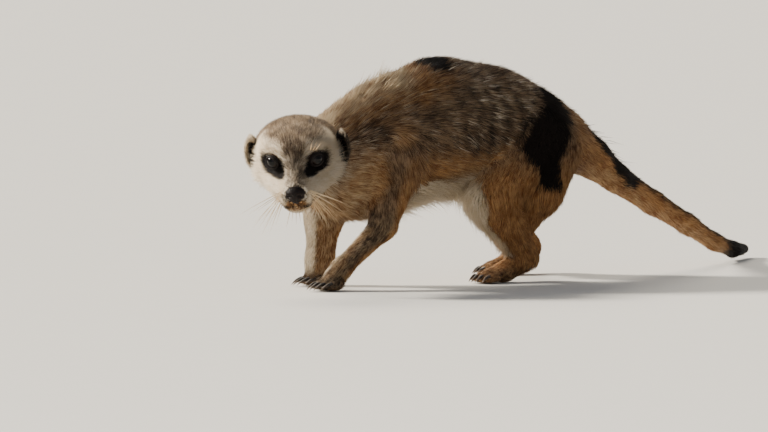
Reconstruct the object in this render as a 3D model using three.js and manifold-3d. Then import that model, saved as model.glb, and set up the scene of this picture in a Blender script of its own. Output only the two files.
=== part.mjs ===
// A life-size adult meerkat walking on all fours, back arched, head lowered and turned to its left.
// Millimetres. +X is the animal's left, -Y its front, +Z up. The floor is Z = 0.
//
// The surface is that of the coat. The body is one smooth field, made of blended round cones. Trunk,
// tail, head and lower legs are skins lofted over that field around a spine; thighs and upper arms are
// polygonised from it. Each part is parted from its neighbours by thin cuts. Eyes, nose, ears, toes,
// claws and whiskers are shapes of their own.
import * as THREE from "three";
import { mergeVertices } from "three/addons/utils/BufferGeometryUtils.js";
import Module from "manifold-3d";

const wasm = await Module();
wasm.setup();

const v = (x, y, z) => new THREE.Vector3(x, y, z);
const { lerp, clamp, degToRad } = THREE.MathUtils;

// ---------- driving dimensions ----------
const SEAM = 0.3; // gap left by each cut between two parts
const CELL = 9; // grid on which thighs and upper arms are polygonised
const NOSE_CELL = 2.6;
const backHeight = 136; // floor to the top of the arched back
const chestFloor = 38; // floor to the underside of the chest
const bellyFloor = 54; // floor to the belly
const trunkWide = 0.8; // width over depth of the trunk's section
const headAt = v(19, -129, 85.8); // middle of the skull
const headYaw = 51.6; // degrees the head is turned to its left
const headPitch = 20.5; // degrees the muzzle points down
const headRoll = -4.1; // degrees the head leans to its right
const eyeRadius = 4.8;
const eyeAt = v(12.1, -20.2, 2.5); // the left eye, in the head's frame
const earAt = v(28.6, 4, -1); // middle of the left ear, in the head's frame
const earHalf = v(4.6, 6.8, 10.6); // half its thickness, depth and height
const earWall = -1.1; // from the ear's outside in to its bowl
const noseAt = v(0, -44, -11); // front of the nose pad, in the head's frame
const padAt = v(9.5, -33.5, -12.8); // middle of the left whisker pad, in the head's frame
const padHalf = v(5, 6.4, 4.4); // half its width, depth and height
const whiskerAt = v(9.4, -36.5, -11); // root of the left pad's top whisker, in the head's frame
const whiskerLength = 30;
const whiskerRadius = 0.45;
const toeSpread = 4.6; // between the middles of two toes
const foreClaw = 10;
const hindClaw = 6.5;

// ---------- the field ----------
// A round cone from a to b. wide stretches its section across X.
const cone = (a, b, ra, rb = ra, wide = 1) => ({ a, b, ra, rb, wide });

// Cones from station to station, each station [point, radius].
const chain = (stations, wide = 1) =>
  stations.slice(1).map(([b, rb], i) => cone(stations[i][0], b, stations[i][1], rb, wide));

function coneDistance({ a, b, ra, rb, wide }, x, y, z) {
  const dx = (b.x - a.x) / wide;
  const dy = b.y - a.y;
  const dz = b.z - a.z;
  const px = (x - a.x) / wide;
  const py = y - a.y;
  const pz = z - a.z;
  const t = clamp((px * dx + py * dy + pz * dz) / (dx * dx + dy * dy + dz * dz), 0, 1);
  return (Math.hypot(px - t * dx, py - t * dy, pz - t * dz) - lerp(ra, rb, t)) * Math.min(1, wide);
}

// The lesser of two distances, rounded over where they differ by less than soft.
function blend(a, b, soft) {
  const h = Math.max(soft - Math.abs(a - b), 0) / soft;
  return Math.min(a, b) - (h * h * soft) / 4;
}

const group = (soft, ...cones) => ({ soft, cones: cones.flat() });
const distance = ({ soft, cones }, x, y, z) =>
  cones.reduce((d, c) => blend(d, coneDistance(c, x, y, z), soft), Infinity);

// ---------- trunk, neck and tail ----------
// The back's stations: [y, top, underside].
const trunkLine = [
  [-76, backHeight - 27, chestFloor],
  [-52, backHeight - 14, chestFloor + 8],
  [-10, backHeight, bellyFloor],
  [28, backHeight - 7, bellyFloor + 1],
  [60, backHeight - 21, bellyFloor + 4],
  [82, backHeight - 34, bellyFloor + 9],
];
const trunkStation = ([y, top, low]) => [v(0, y, (top + low) / 2), (top - low) / 2 - 1];
const trunk = group(10, chain(trunkLine.map(trunkStation), trunkWide));
const neck = group(6, chain([[v(0, -78, 84.5), 22], [v(3, -100, 79.5), 17.5], [v(9, -118, 82), 18]]));
const tailLine = [
  [v(0, 82, 81), 18],
  [v(0, 104, 71.5), 12.2],
  [v(-1, 125, 57.5), 8.6],
  [v(-6, 157, 41), 7.4],
  [v(-13, 189, 26), 6.5],
  [v(-23, 217, 13.5), 5.6],
  [v(-37, 242, 7), 4.8],
  [v(-52, 262, 5.6), 3.6],
];
const tail = group(4, chain(tailLine));

// ---------- legs ----------
// Each leg's joints from the body down, with the radius there, and the muscle behind its upper bone.
// The toes start at toes and point along heading, in degrees to the animal's left.
const side = { left: 1, right: -1 };
const legs = {
  front_left: {
    joints: [
      [v(15, -60, 80), 20],
      [v(24, -68, 38), 7.8],
      [v(21.5, -98, 13), 5.9],
      [v(20.5, -103, 6.4), 6.6],
    ],
    muscle: [[v(14, -54, 74), 16], [v(22, -59, 50), 8]],
    toes: v(20, -108, 4),
    heading: 12,
  },
  front_right: {
    joints: [
      [v(-15, -60, 80), 20],
      [v(-21, -80, 42), 11.5],
      [v(-19.5, -84.5, 14), 8.2],
      [v(-19, -86, 6.4), 6.6],
    ],
    muscle: [[v(-14, -54, 74), 16], [v(-21, -68, 50), 9]],
    toes: v(-18.5, -91, 4),
    heading: 4,
  },
  hind_left: {
    joints: [
      [v(13, 46, 85), 27],
      [v(24, 12, 50.6), 15.5],
      [v(26, 36, 14), 7.8],
      [v(26, 20, 6.2), 6.4],
    ],
    muscle: [[v(14, 62, 78), 22], [v(23, 49, 53), 14.5], [v(25, 38, 37), 8.5]],
    toes: v(26, 6, 4),
    heading: 6,
  },
  hind_right: {
    joints: [
      [v(-13, 54, 85), 27],
      [v(-24, 46, 50), 15.5],
      [v(-26, 76, 16), 7.8],
      [v(-25.5, 60, 6.2), 6.4],
    ],
    muscle: [[v(-14, 68, 76), 20], [v(-23, 68, 53), 13], [v(-25, 69, 37), 8.5]],
    toes: v(-25, 46, 4),
    heading: -4,
  },
};
const legFields = Object.values(legs).flatMap(({ joints, muscle, toes }) => [
  group(6, chain(joints), chain(muscle)),
  group(2, cone(joints.at(-1)[0], toes.clone().add(v(0, 1, 0.4)), 6, 4.6, 1.3)),
]);

// ---------- head, in its own frame: +X left, -Y forward, +Z up ----------
const headFrame = new THREE.Group();
headFrame.position.copy(headAt);
headFrame.rotation.set(degToRad(headPitch), degToRad(headRoll), degToRad(headYaw), "ZXY");
headFrame.updateMatrixWorld(true);
const headMatrix = headFrame.matrixWorld;
const intoHead = headMatrix.clone().invert();
const bothSides = (make) => [make(1), make(-1)];
const head = group(
  6,
  cone(v(0, 9, -1), v(0, -9, 1.5), 18.8, 16.6, 1.41), // braincase
  bothSides((s) => cone(v(s * 15.5, 1, -11), v(s * 9, -20, -14), 12, 8.6)), // cheeks
  bothSides((s) => cone(v(s * 7, -14, 7.5), v(s * 13, -6, 6), 7, 9)), // brows
  cone(v(0, -16, -3), v(0, -36, -10), 12, 6.2, 1.05), // muzzle
  bothSides((s) => cone(v(s * 5.5, -27, -14), v(s * 4.8, -35.5, -14.8), 7.5, 5.6)), // whisker pads
  cone(v(0, -6, -17), v(0, -33, -20.5), 10, 6, 1.25), // lower jaw
);
const eyeHollow = group(1, bothSides((s) => cone(v(s * 14, -26.5, 3.2), v(s * 10, -30, -0.5), 4.4, 2.6)));

const headOnly = (x, y, z) => -blend(-distance(head, x, y, z), distance(eyeHollow, x, y, z), 4);
const probe = v(0, 0, 0);
function headField(x, y, z) {
  probe.set(x, y, z).applyMatrix4(intoHead);
  return headOnly(probe.x, probe.y, probe.z);
}

function torso(x, y, z) {
  const d = blend(distance(trunk, x, y, z), distance(neck, x, y, z), 10);
  return blend(blend(d, distance(tail, x, y, z), 8), headField(x, y, z), 8);
}

const body = (x, y, z) =>
  legFields.reduce((d, field) => blend(d, distance(field, x, y, z), field.soft + 1), torso(x, y, z));

// ---------- lofting ----------
// A skin over the field around a spine: on each ring round a point of the spine, points are cast out
// to where the field ends, or as far as the reach there.
const onPath = (points, count) => new THREE.CatmullRomCurve3(points).getPoints(count);

function edgeFrom(field, at, out, reach) {
  let [inside, outside] = [0, reach];
  for (let step = 0; step < 16; step++) {
    const half = (inside + outside) / 2;
    if (field(at.x + out.x * half, at.y + out.y * half, at.z + out.z * half) < 0) inside = half;
    else outside = half;
  }
  return at.clone().addScaledVector(out, inside);
}

function loft(field, spine, segments, [firstReach, lastReach]) {
  const sideways = v(1, 0, 0);
  const last = spine.length - 1;
  const points = spine.flatMap((at, i) => {
    const along = spine[Math.min(i + 1, last)].clone().sub(spine[Math.max(i - 1, 0)]).normalize();
    const up = along.clone().cross(sideways).normalize();
    const across = up.clone().cross(along);
    return Array.from({ length: segments }, (_, n) => {
      const turn = (2 * Math.PI * n) / segments;
      const out = across.clone().multiplyScalar(Math.cos(turn)).addScaledVector(up, Math.sin(turn));
      return edgeFrom(field, at, out, lerp(firstReach, lastReach, i / last));
    });
  });
  const [start, end] = [points.length, points.length + 1];
  points.push(spine[0], spine[last]);
  const triangles = [];
  for (let n = 0; n < segments; n++) {
    const next = (n + 1) % segments;
    for (let ring = 0; ring < last * segments; ring += segments) {
      const [a, b, c, d] = [ring + n, ring + next, ring + segments + next, ring + segments + n];
      triangles.push(a, b, c, a, c, d);
    }
    triangles.push(start, next, n, end, last * segments + n, last * segments + next);
  }
  return fromPoints(points, triangles);
}

// ---------- polygonising ----------
// Surface nets: one vertex in each grid cell that the surface crosses, joined across each crossed
// edge. The vertices are then evened out and drawn onto the surface.
const DIRECTIONS = [v(1, 0, 0), v(0, 1, 0), v(0, 0, 1)];
const CORNERS = [0, 1, 2, 3, 4, 5, 6, 7].map((n) => v(n & 1, (n >> 1) & 1, n >> 2));
const EDGES = CORNERS.flatMap((a, m) => CORNERS.slice(m + 1).map((b) => [a, b])).filter(
  ([a, b]) => a.distanceToSquared(b) === 1,
);

function drawOnto(field, p, cell) {
  const e = 0.05 * cell;
  for (let step = 0; step < 3; step++) {
    const slope = v(
      field(p.x + e, p.y, p.z) - field(p.x - e, p.y, p.z),
      field(p.x, p.y + e, p.z) - field(p.x, p.y - e, p.z),
      field(p.x, p.y, p.z + e) - field(p.x, p.y, p.z - e),
    ).divideScalar(2 * e);
    p.addScaledVector(slope, -field(p.x, p.y, p.z) / Math.max(slope.lengthSq(), 0.3));
  }
}

function evenOut(points, triangles, field, cell) {
  const loose = points.map((p) => Math.abs(field(p.x, p.y, p.z)) < 0.6 * cell);
  for (let round = 0; round < 4; round++) {
    const sum = points.map(() => v(0, 0, 0));
    const count = points.map(() => 0);
    for (let t = 0; t < triangles.length; t += 3)
      for (let c = 0; c < 3; c++) {
        const here = triangles[t + c];
        sum[here].add(points[triangles[t + ((c + 1) % 3)]]);
        count[here]++;
      }
    points.forEach((p, n) => {
      if (!loose[n]) return;
      p.lerp(sum[n].divideScalar(count[n]), 0.5);
      drawOnto(field, p, cell);
    });
  }
}

function polygonise(field, box, cell) {
  const low = box.min.clone().subScalar(1.5 * cell);
  const n = box.max.clone().sub(low).divideScalar(cell).ceil().addScalar(2);
  const at = (i, j, k) => (k * (n.y + 1) + j) * (n.x + 1) + i;
  const cells = [];
  for (let k = 0; k < n.z; k++)
    for (let j = 0; j < n.y; j++) for (let i = 0; i < n.x; i++) cells.push(v(i, j, k));

  const value = new Float32Array(at(n.x, n.y, n.z) + 1).fill(cell);
  for (const c of cells)
    if (c.x > 0 && c.y > 0 && c.z > 0)
      value[at(c.x, c.y, c.z)] = field(low.x + c.x * cell, low.y + c.y * cell, low.z + c.z * cell);

  const vertexOf = new Map();
  const points = [];
  for (const c of cells) {
    const crossings = [];
    for (const [a, b] of EDGES) {
      const va = value[at(c.x + a.x, c.y + a.y, c.z + a.z)];
      const vb = value[at(c.x + b.x, c.y + b.y, c.z + b.z)];
      if (va < 0 !== vb < 0) crossings.push(a.clone().lerp(b, va / (va - vb)));
    }
    if (!crossings.length) continue;
    const middle = crossings.reduce((sum, p) => sum.add(p), v(0, 0, 0)).divideScalar(crossings.length);
    vertexOf.set(at(c.x, c.y, c.z), points.length);
    points.push(middle.add(c).multiplyScalar(cell).add(low));
  }

  const triangles = [];
  for (const c of cells)
    DIRECTIONS.forEach((along, d) => {
      const here = value[at(c.x, c.y, c.z)] < 0;
      if (here === value[at(c.x + along.x, c.y + along.y, c.z + along.z)] < 0) return;
      const u = DIRECTIONS[(d + 1) % 3];
      const w = DIRECTIONS[(d + 2) % 3];
      const around = [[0, 0], [1, 0], [1, 1], [0, 1]].map(([s, t]) =>
        vertexOf.get(at(c.x - s * u.x - t * w.x, c.y - s * u.y - t * w.y, c.z - s * u.z - t * w.z)),
      );
      const [p, q, r, s] = here ? around : around.reverse();
      const cutPR = points[p].distanceTo(points[r]) < points[q].distanceTo(points[s]);
      triangles.push(...(cutPR ? [p, q, r, p, r, s] : [p, q, s, q, r, s]));
    });

  evenOut(points, triangles, field, cell);
  return fromPoints(points, triangles);
}

// ---------- solids ----------
function fromPoints(points, triangles) {
  const positions = new Float32Array(points.flatMap((p) => p.toArray()));
  const geometry = new THREE.BufferGeometry();
  geometry.setAttribute("position", new THREE.BufferAttribute(positions, 3)).setIndex(triangles);
  return solid(geometry);
}

function solid(geometry) {
  const bare = geometry.clone();
  bare.deleteAttribute("normal");
  bare.deleteAttribute("uv");
  const merged = mergeVertices(bare, 1e-4);
  return new wasm.Manifold(
    new wasm.Mesh({
      numProp: 3,
      vertProperties: merged.attributes.position.array,
      triVerts: new Uint32Array(merged.index.array),
    }),
  );
}

function geometryOf(made) {
  const { vertProperties, triVerts } = made.getMesh();
  return new THREE.BufferGeometry()
    .setAttribute("position", new THREE.BufferAttribute(new Float32Array(vertProperties), 3))
    .setIndex(new THREE.BufferAttribute(new Uint32Array(triVerts), 1));
}

const join = (...made) => made.reduce((a, b) => a.add(b));
const largest = (made) => made.decompose().reduce((a, b) => (a.volume() > b.volume() ? a : b));

// A box between two corners, grown on every side, and placed by a matrix.
function block(low, high, grow = 0, matrix = new THREE.Matrix4()) {
  const size = high.clone().sub(low).addScalar(2 * grow);
  const middle = low.clone().add(high).multiplyScalar(0.5);
  const box = new THREE.BoxGeometry(size.x, size.y, size.z).translate(middle.x, middle.y, middle.z);
  return solid(box.applyMatrix4(matrix));
}

// All that lies beyond the plane through point, on the side that away points to, moved back by grow.
const REACH = 400;
function beyond(point, away, grow = 0) {
  const toward = new THREE.Quaternion().setFromUnitVectors(v(0, 0, 1), away.clone().normalize());
  const matrix = new THREE.Matrix4().compose(point, toward, v(1, 1, 1));
  return block(v(-REACH, -REACH, -grow), v(REACH, REACH, REACH), 0, matrix);
}

function ellipsoid(at, half, grow = 0, segments = [14, 10], turn = 0) {
  const round = new THREE.SphereGeometry(1, ...segments);
  round.scale(half.x + grow, half.y + grow, half.z + grow).rotateZ(turn).translate(at.x, at.y, at.z);
  return solid(round);
}

const inHead = (made) => made.transform(headMatrix.toArray());

// ---------- where one part ends and the next begins ----------
// A leg's region seen from the side: round over the shoulder or haunch and straight down from there.
// From the front it starts at inner above the belly, and at the middle of the body below it.
const legOutlines = {
  front: { y: -62, z: 76, halfWide: 24, halfHigh: 25, inner: 12, belly: 38, ahead: 64, behind: 24 },
  hind: { y: 31, z: 66, halfWide: 45, halfHigh: 43, inner: 12, belly: 48, ahead: 62, behind: 45 },
};
function legRegion(name, grow = 0) {
  const [end, hand] = name.split("_");
  const { y, z, halfWide, halfHigh, inner, belly, ahead, behind } = legOutlines[end];
  const outline = new THREE.Shape();
  outline.absellipse(y, z, halfWide + grow, halfHigh + grow, 0, Math.PI, false, 0);
  outline.lineTo(y - halfWide - grow, 0);
  outline.lineTo(y + halfWide + grow, 0);
  const slab = new THREE.ExtrudeGeometry(outline, { depth: 80, bevelEnabled: false, curveSegments: 7 });
  slab.applyMatrix4(new THREE.Matrix4().makeBasis(v(0, 1, 0), v(0, 0, 1), v(1, 0, 0)));
  const innerFace = inner - grow;
  slab.translate(side[hand] > 0 ? innerFace : -80 - innerFace, 0, 0);
  const [near, far] = side[hand] > 0 ? [1, 80] : [-80, -1];
  return join(solid(slab), block(v(near, y - ahead, -9), v(far, y + behind, belly), grow));
}
const legNames = Object.keys(legs);
const legCuts = legNames.map((name) => legRegion(name, SEAM));

const headSpine = [v(0, 22, -2), v(0, 0, -2), v(0, -20, -5), v(0, -42, -13)];
const headSkin = (grow) =>
  inHead(loft((x, y, z) => headOnly(x, y, z) - grow, onPath(headSpine, 15), 24, [34, 34]));

// The ear is a cup that opens forwards, let into the side of the skull and turned a little outwards.
const earTurn = 0.35;
const earShape = (s, grow = 0) =>
  ellipsoid(v(s * earAt.x, earAt.y, earAt.z), earHalf, grow, [10, 8], s * earTurn);
const earBowl = (s) =>
  ellipsoid(v(s * (earAt.x + 0.6), earAt.y - 3, earAt.z), earHalf, earWall, [10, 7], s * earTurn);
const headSocket = join(headSkin(3 * SEAM), ...bothSides((s) => inHead(earShape(s, 2 * SEAM))));
const jawMatrix = headMatrix.clone().multiply(new THREE.Matrix4().makeRotationX(degToRad(12)));
const jawRegion = (grow = 0) => block(v(-14, -60, -50), v(14, -18, -10.2), grow, jawMatrix);
const neckRegion = (grow = 0) => beyond(v(0, -86, 90), v(0, -0.8, 0.5), grow);
const loinRegion = (grow = 0) => beyond(v(0, -12, 90), v(0, 1, 0.08), grow);
const tailRegion = (n, grow = 0) =>
  beyond(tailLine[n][0], tailLine[n + 1][0].clone().sub(tailLine[n - 1][0]), grow);
const underFloor = block(v(-REACH, -REACH, -REACH), v(REACH, REACH, 0));

// What of a solid lies in all the inside regions, clear of the outside ones and of the floor.
function carve(made, inside, outside = []) {
  for (const region of inside) made = made.intersect(region);
  for (const region of [underFloor, ...outside]) made = made.subtract(region);
  return largest(made);
}

// ---------- colours and nodes ----------
const COAT = {
  back: "#8a6c4e",
  flank: "#9c7b58",
  leg: "#b08e66",
  tail: "#9a6a3c",
  dark: "#2a1e17",
  grey: "#a89a88",
};
const part = new THREE.Group();
part.add(headFrame);
function add(name, made, color, roughness = 0.9, parent = part) {
  const material = new THREE.MeshStandardMaterial({ color, roughness, metalness: 0 });
  const mesh = new THREE.Mesh(geometryOf(made), material);
  mesh.name = name;
  parent.add(mesh);
}

// ---------- trunk, neck and tail ----------
function addTrunk() {
  const back = trunkLine.slice(1).map((station) => trunkStation(station)[0]);
  const spine = [v(9, -122, 85), v(3, -100, 84), v(0, -78, 80), ...back, tailLine[1][0], tailLine[2][0]];
  const skin = loft(body, onPath(spine, 20), 18, [44, 44]);
  const outside = [...legCuts, headSocket, tailRegion(1, SEAM)];
  add("chest", carve(skin, [], [...outside, neckRegion(SEAM), loinRegion(SEAM)]), COAT.flank);
  add("loin", carve(skin, [loinRegion()], outside), COAT.back);
  add("neck", carve(skin, [neckRegion()], [headSocket]), COAT.flank);
}

function addTail() {
  const spine = onPath(tailLine.map(([at]) => at), 17);
  spine.push(spine.at(-1).clone().add(v(-1.2, 1.6, 0)));
  const tailSkin = loft(torso, spine, 11, [40, 20]);
  const lengths = [
    ["tail_root", 1, 3, COAT.back],
    ["tail_middle", 3, 5, COAT.tail],
    ["tail_tip", 5, 7, COAT.dark],
  ];
  for (const [name, first, last, color] of lengths) {
    const next = last < 7 ? [tailRegion(last, SEAM)] : [];
    add(name, carve(tailSkin, [tailRegion(first)], next), color);
  }
}

// ---------- legs ----------
// Four toes side by side, fanned out, the outer ones ending further back. Each has a claw that starts
// inside it and curves down to just above the floor.
function toesAndClaws({ toes, heading }, clawLength) {
  const clawRoot = { ahead: 4.5, height: 4.6, radius: 1.25 };
  return [-1.5, -0.5, 0.5, 1.5].flatMap((n) => {
    const setBack = 2.4 * Math.abs(n) - 1.2;
    const across = n * toeSpread;
    const toe = ellipsoid(v(across, setBack - 1.5, 3.4), v(2.8, 5.8, 4.2), 0, [5, 4]);
    const horn = new THREE.ConeGeometry(clawRoot.radius, clawLength, 4, 2).rotateX(Math.PI);
    horn.translate(across, setBack - clawRoot.ahead - clawLength / 2, clawRoot.height);
    const p = horn.attributes.position;
    for (let i = 0; i < p.count; i++) {
      const along = (setBack - clawRoot.ahead - p.getY(i)) / clawLength;
      p.setZ(i, p.getZ(i) - (clawRoot.height - 0.8) * along * along);
    }
    const place = new THREE.Matrix4().makeRotationZ(degToRad(heading - 5 * n));
    place.setPosition(toes.x, toes.y, 0);
    return [toe, solid(horn)].map((made) => made.transform(place.toArray()));
  });
}

// The parts of each leg, the height and tilt of the cuts between them, how far the lower leg's skin
// may reach from its spine, and how far the heel lies behind the ankle.
const ELBOW_HEIGHT = 40;
const legParts = {
  front: {
    names: ["upper_arm", "forearm", "paw"],
    claw: foreClaw,
    wrist: 14,
    tilt: v(0, -0.35, -1),
    reach: [17, 11],
    heel: 5,
    boxMargin: 30,
  },
  hind: {
    names: ["thigh", "shank", "foot"],
    claw: hindClaw,
    wrist: 16,
    tilt: v(0, 0.15, -1),
    reach: [24, 11],
    heel: 9,
    boxMargin: 38,
  },
};
function addLeg(name) {
  const [end, hand] = name.split("_");
  const { names, claw, wrist, tilt, reach, heel, boxMargin } = legParts[end];
  const [upper, lower, foot] = names.map((n) => n + "_" + hand);
  const leg = legs[name];
  const region = legRegion(name);
  const [shoulder, elbow, ankle, ball] = leg.joints.map(([at]) => at);
  const elbowCut = v(elbow.x, elbow.y, Math.min(elbow.z, ELBOW_HEIGHT));
  const lowerRegion = (grow = 0) => beyond(elbowCut, tilt, grow);
  const footRegion = (grow = 0) => beyond(v(ankle.x, ankle.y, wrist), v(0, 0, -1), grow);

  const box = new THREE.Box3().setFromPoints([shoulder, elbow]).expandByScalar(boxMargin);
  const upperSkin = polygonise(body, box, CELL).intersect(block(box.min, box.max, -CELL));
  const others = [neckRegion(SEAM), headSocket, lowerRegion(SEAM)];
  add(upper, carve(upperSkin, [region], others), COAT.leg);

  const above = elbow.clone().lerp(shoulder, 0.3);
  const lowerSpine = [above, elbow, ankle, ankle.clone().setZ(4)];
  const lowerSkin = loft(body, onPath(lowerSpine, 8), 11, reach);
  add(lower, carve(lowerSkin, [region, lowerRegion()], [headSocket, footRegion(SEAM)]), COAT.leg);

  const behind = ankle.clone().add(v(0, heel, -3));
  const tips = leg.toes.clone().add(v(0, -3, 0));
  const sole = loft(body, [behind, ankle.clone().lerp(ball, 0.3), ball, leg.toes, tips], 10, [14, 14]);
  const instep = carve(sole, [region, footRegion()]);
  add(foot, carve(join(instep, ...toesAndClaws(leg, claw)), []), COAT.leg);
}

// ---------- head ----------
// The nose pad: a wide rounded cushion over a narrow groove to the lip.
function nosePad(grow = 0) {
  const top = cone(noseAt.clone().add(v(0, 4.2, 0.6)), noseAt.clone().add(v(0, 7, 1.4)), 4.2, 3.6, 1.35);
  const below = cone(noseAt.clone().add(v(0, 3.9, -3)), noseAt.clone().add(v(0, 6, -4)), 2.9);
  const pad = group(2.5, top, below);
  const box = new THREE.Box3().setFromPoints([noseAt]).expandByScalar(12);
  return polygonise((x, y, z) => distance(pad, x, y, z) - grow, box, NOSE_CELL);
}

// A whisker pad is the swelling of the lip beside the nose. The longest whiskers grow from it.
const padRegion = (s, grow = 0) =>
  inHead(ellipsoid(v(s * padAt.x, padAt.y, padAt.z), padHalf, grow, [9, 7]));

// Four whiskers, each rooted behind and below the one above it and pointing further down.
function whiskers(s) {
  const hairs = [0, 1, 2, 3].map((n) => {
    const hair = new THREE.ConeGeometry(whiskerRadius, whiskerLength, 4, 1);
    hair.translate(0, whiskerLength / 2, 0);
    const toward = v(s * (0.95 - 0.09 * n), 0.06 * n - 0.35, -0.15 - 0.22 * n).normalize();
    hair.applyQuaternion(new THREE.Quaternion().setFromUnitVectors(v(0, 1, 0), toward));
    return solid(hair.translate(s * whiskerAt.x, whiskerAt.y + 1.4 * n, whiskerAt.z - 0.6 * n));
  });
  return inHead(join(...hairs));
}

function addHead() {
  let skull = headSkin(0);
  const nose = nosePad();
  skull = skull.subtract(inHead(nosePad(SEAM)));
  add("nose", nose, "#1d1412", 0.4, headFrame);

  const jaw = largest(skull.intersect(jawRegion()));
  skull = skull.subtract(jawRegion(SEAM));
  for (const hand of ["left", "right"]) {
    const pad = skull.intersect(padRegion(side[hand]));
    add("whisker_pad_" + hand, largest(join(largest(pad), whiskers(side[hand]))), "#d8cdbd", 0.8);
    skull = skull.subtract(padRegion(side[hand], SEAM));
  }

  for (const hand of ["left", "right"]) {
    const s = side[hand];
    const eye = v(s * eyeAt.x, eyeAt.y, eyeAt.z);
    const ball = v(eyeRadius, eyeRadius, eyeRadius);
    skull = skull.subtract(inHead(ellipsoid(eye, ball, SEAM, [10, 7])));
    add("eye_" + hand, ellipsoid(eye, ball, 0, [10, 7]), "#120b08", 0.15, headFrame);

    skull = skull.subtract(inHead(earShape(s, SEAM)));
    add("ear_" + hand, largest(earShape(s).subtract(earBowl(s))), COAT.dark, 0.8, headFrame);
  }
  add("head", largest(skull), COAT.grey);
  add("lower_jaw", jaw, COAT.grey);
}

// ---------- the whole animal, its box centred over the origin ----------
addTrunk();
addTail();
legNames.forEach(addLeg);
addHead();

const bounds = new THREE.Box3().setFromObject(part);
const middle = bounds.getCenter(v(0, 0, 0));
part.position.set(-middle.x, -middle.y, -bounds.min.z);

export default part;
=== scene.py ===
"""A life-size meerkat walking on all fours: skin, eyes, nose, ears, claws, whiskers and fur coat."""

import math
from collections import namedtuple

import bmesh
import bpy
import numpy as np
from mathutils import Matrix, Vector


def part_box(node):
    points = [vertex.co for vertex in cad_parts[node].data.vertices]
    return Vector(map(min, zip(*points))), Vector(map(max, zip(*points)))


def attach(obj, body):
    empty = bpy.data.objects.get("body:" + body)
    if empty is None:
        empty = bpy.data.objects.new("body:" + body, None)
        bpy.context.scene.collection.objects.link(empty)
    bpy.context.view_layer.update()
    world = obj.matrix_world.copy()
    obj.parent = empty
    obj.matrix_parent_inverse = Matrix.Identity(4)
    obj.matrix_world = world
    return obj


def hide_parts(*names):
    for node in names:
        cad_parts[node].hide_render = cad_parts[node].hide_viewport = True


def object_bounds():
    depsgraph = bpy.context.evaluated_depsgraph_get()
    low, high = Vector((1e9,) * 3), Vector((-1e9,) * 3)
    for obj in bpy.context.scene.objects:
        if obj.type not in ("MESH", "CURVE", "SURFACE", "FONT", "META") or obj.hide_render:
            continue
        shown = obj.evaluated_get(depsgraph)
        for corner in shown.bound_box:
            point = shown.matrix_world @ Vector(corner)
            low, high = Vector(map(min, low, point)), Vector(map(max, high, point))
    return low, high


bl_info = {
    "name": "Walking meerkat",
    "version": (1, 0, 0),
    "blender": (4, 5, 0),
    "location": "View3D > Sidebar > Meerkat",
    "description": "Builds the skin, eyes, nose, ears, claws, whiskers and coat of a life-size meerkat",
    "category": "Object",
}

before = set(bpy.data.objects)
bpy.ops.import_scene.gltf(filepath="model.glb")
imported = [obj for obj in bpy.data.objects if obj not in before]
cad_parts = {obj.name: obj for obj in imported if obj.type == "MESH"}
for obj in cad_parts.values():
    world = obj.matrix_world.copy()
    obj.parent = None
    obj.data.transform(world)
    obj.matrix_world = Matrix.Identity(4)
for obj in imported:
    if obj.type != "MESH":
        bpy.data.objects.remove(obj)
CAD_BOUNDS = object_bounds()
rng = np.random.default_rng(seed=7)

# ---------- the body's form ----------
# Millimetres in the body's own frame: +X is the animal's left, -Y its front, and the floor is Z = 0.
# The head has a frame of its own, with its place and turn in the body's.
HEAD_AT = np.array((19.0, -129.0, 85.8))
HEAD_TURN = np.array(
    Matrix.Rotation(math.radians(51.6), 3, "Z")
    @ Matrix.Rotation(math.radians(20.5), 3, "X")
    @ Matrix.Rotation(math.radians(-4.1), 3, "Y")
)
# In the head's frame: the left eye, the left ear and the nose.
EYE_AT = np.array((12.1, -20.2, 2.5))
EAR_AT = np.array((28.6, 4.0, -1.0))
NOSE_AT = np.array((0.0, -44.0, -11.0))
EYE_RADIUS = 4.8
SIDES = {"left": 1.0, "right": -1.0}

# Each coat: depth of the fur over the skin, length and half width of a tuft, tufts per square mm,
# and how much the tips stray above the coat.
COATS = {
    "back": (7.5, 13.0, 0.21, 2.7, 0.12),
    "nape": (6.5, 11.0, 0.2, 2.9, 0.18),
    "shoulder": (6.0, 11.0, 0.2, 2.8, 0.12),
    "thigh": (6.5, 12.0, 0.2, 2.8, 0.16),
    "knee": (4.5, 9.0, 0.19, 3.0, 0.2),
    "shank": (2.4, 6.5, 0.16, 3.4, 0.12),
    "foot": (0.8, 3.0, 0.12, 5.5, 0.1),
    "tail": (3.2, 9.0, 0.18, 3.4, 0.2),
    "tip": (2.2, 7.5, 0.17, 3.8, 0.2),
    "skull": (2.0, 5.0, 0.13, 6.0, 0.14),
    "cheek": (2.8, 6.2, 0.14, 5.5, 0.3),
    "muzzle": (0.7, 2.4, 0.1, 8.5, 0.06),
}
DEPTH, WIDTH, DENSITY = 0, 2, 3
# The skin lies under the coat's outer surface by this share of the fur's depth.
SKIN_SHARE = 0.9


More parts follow.
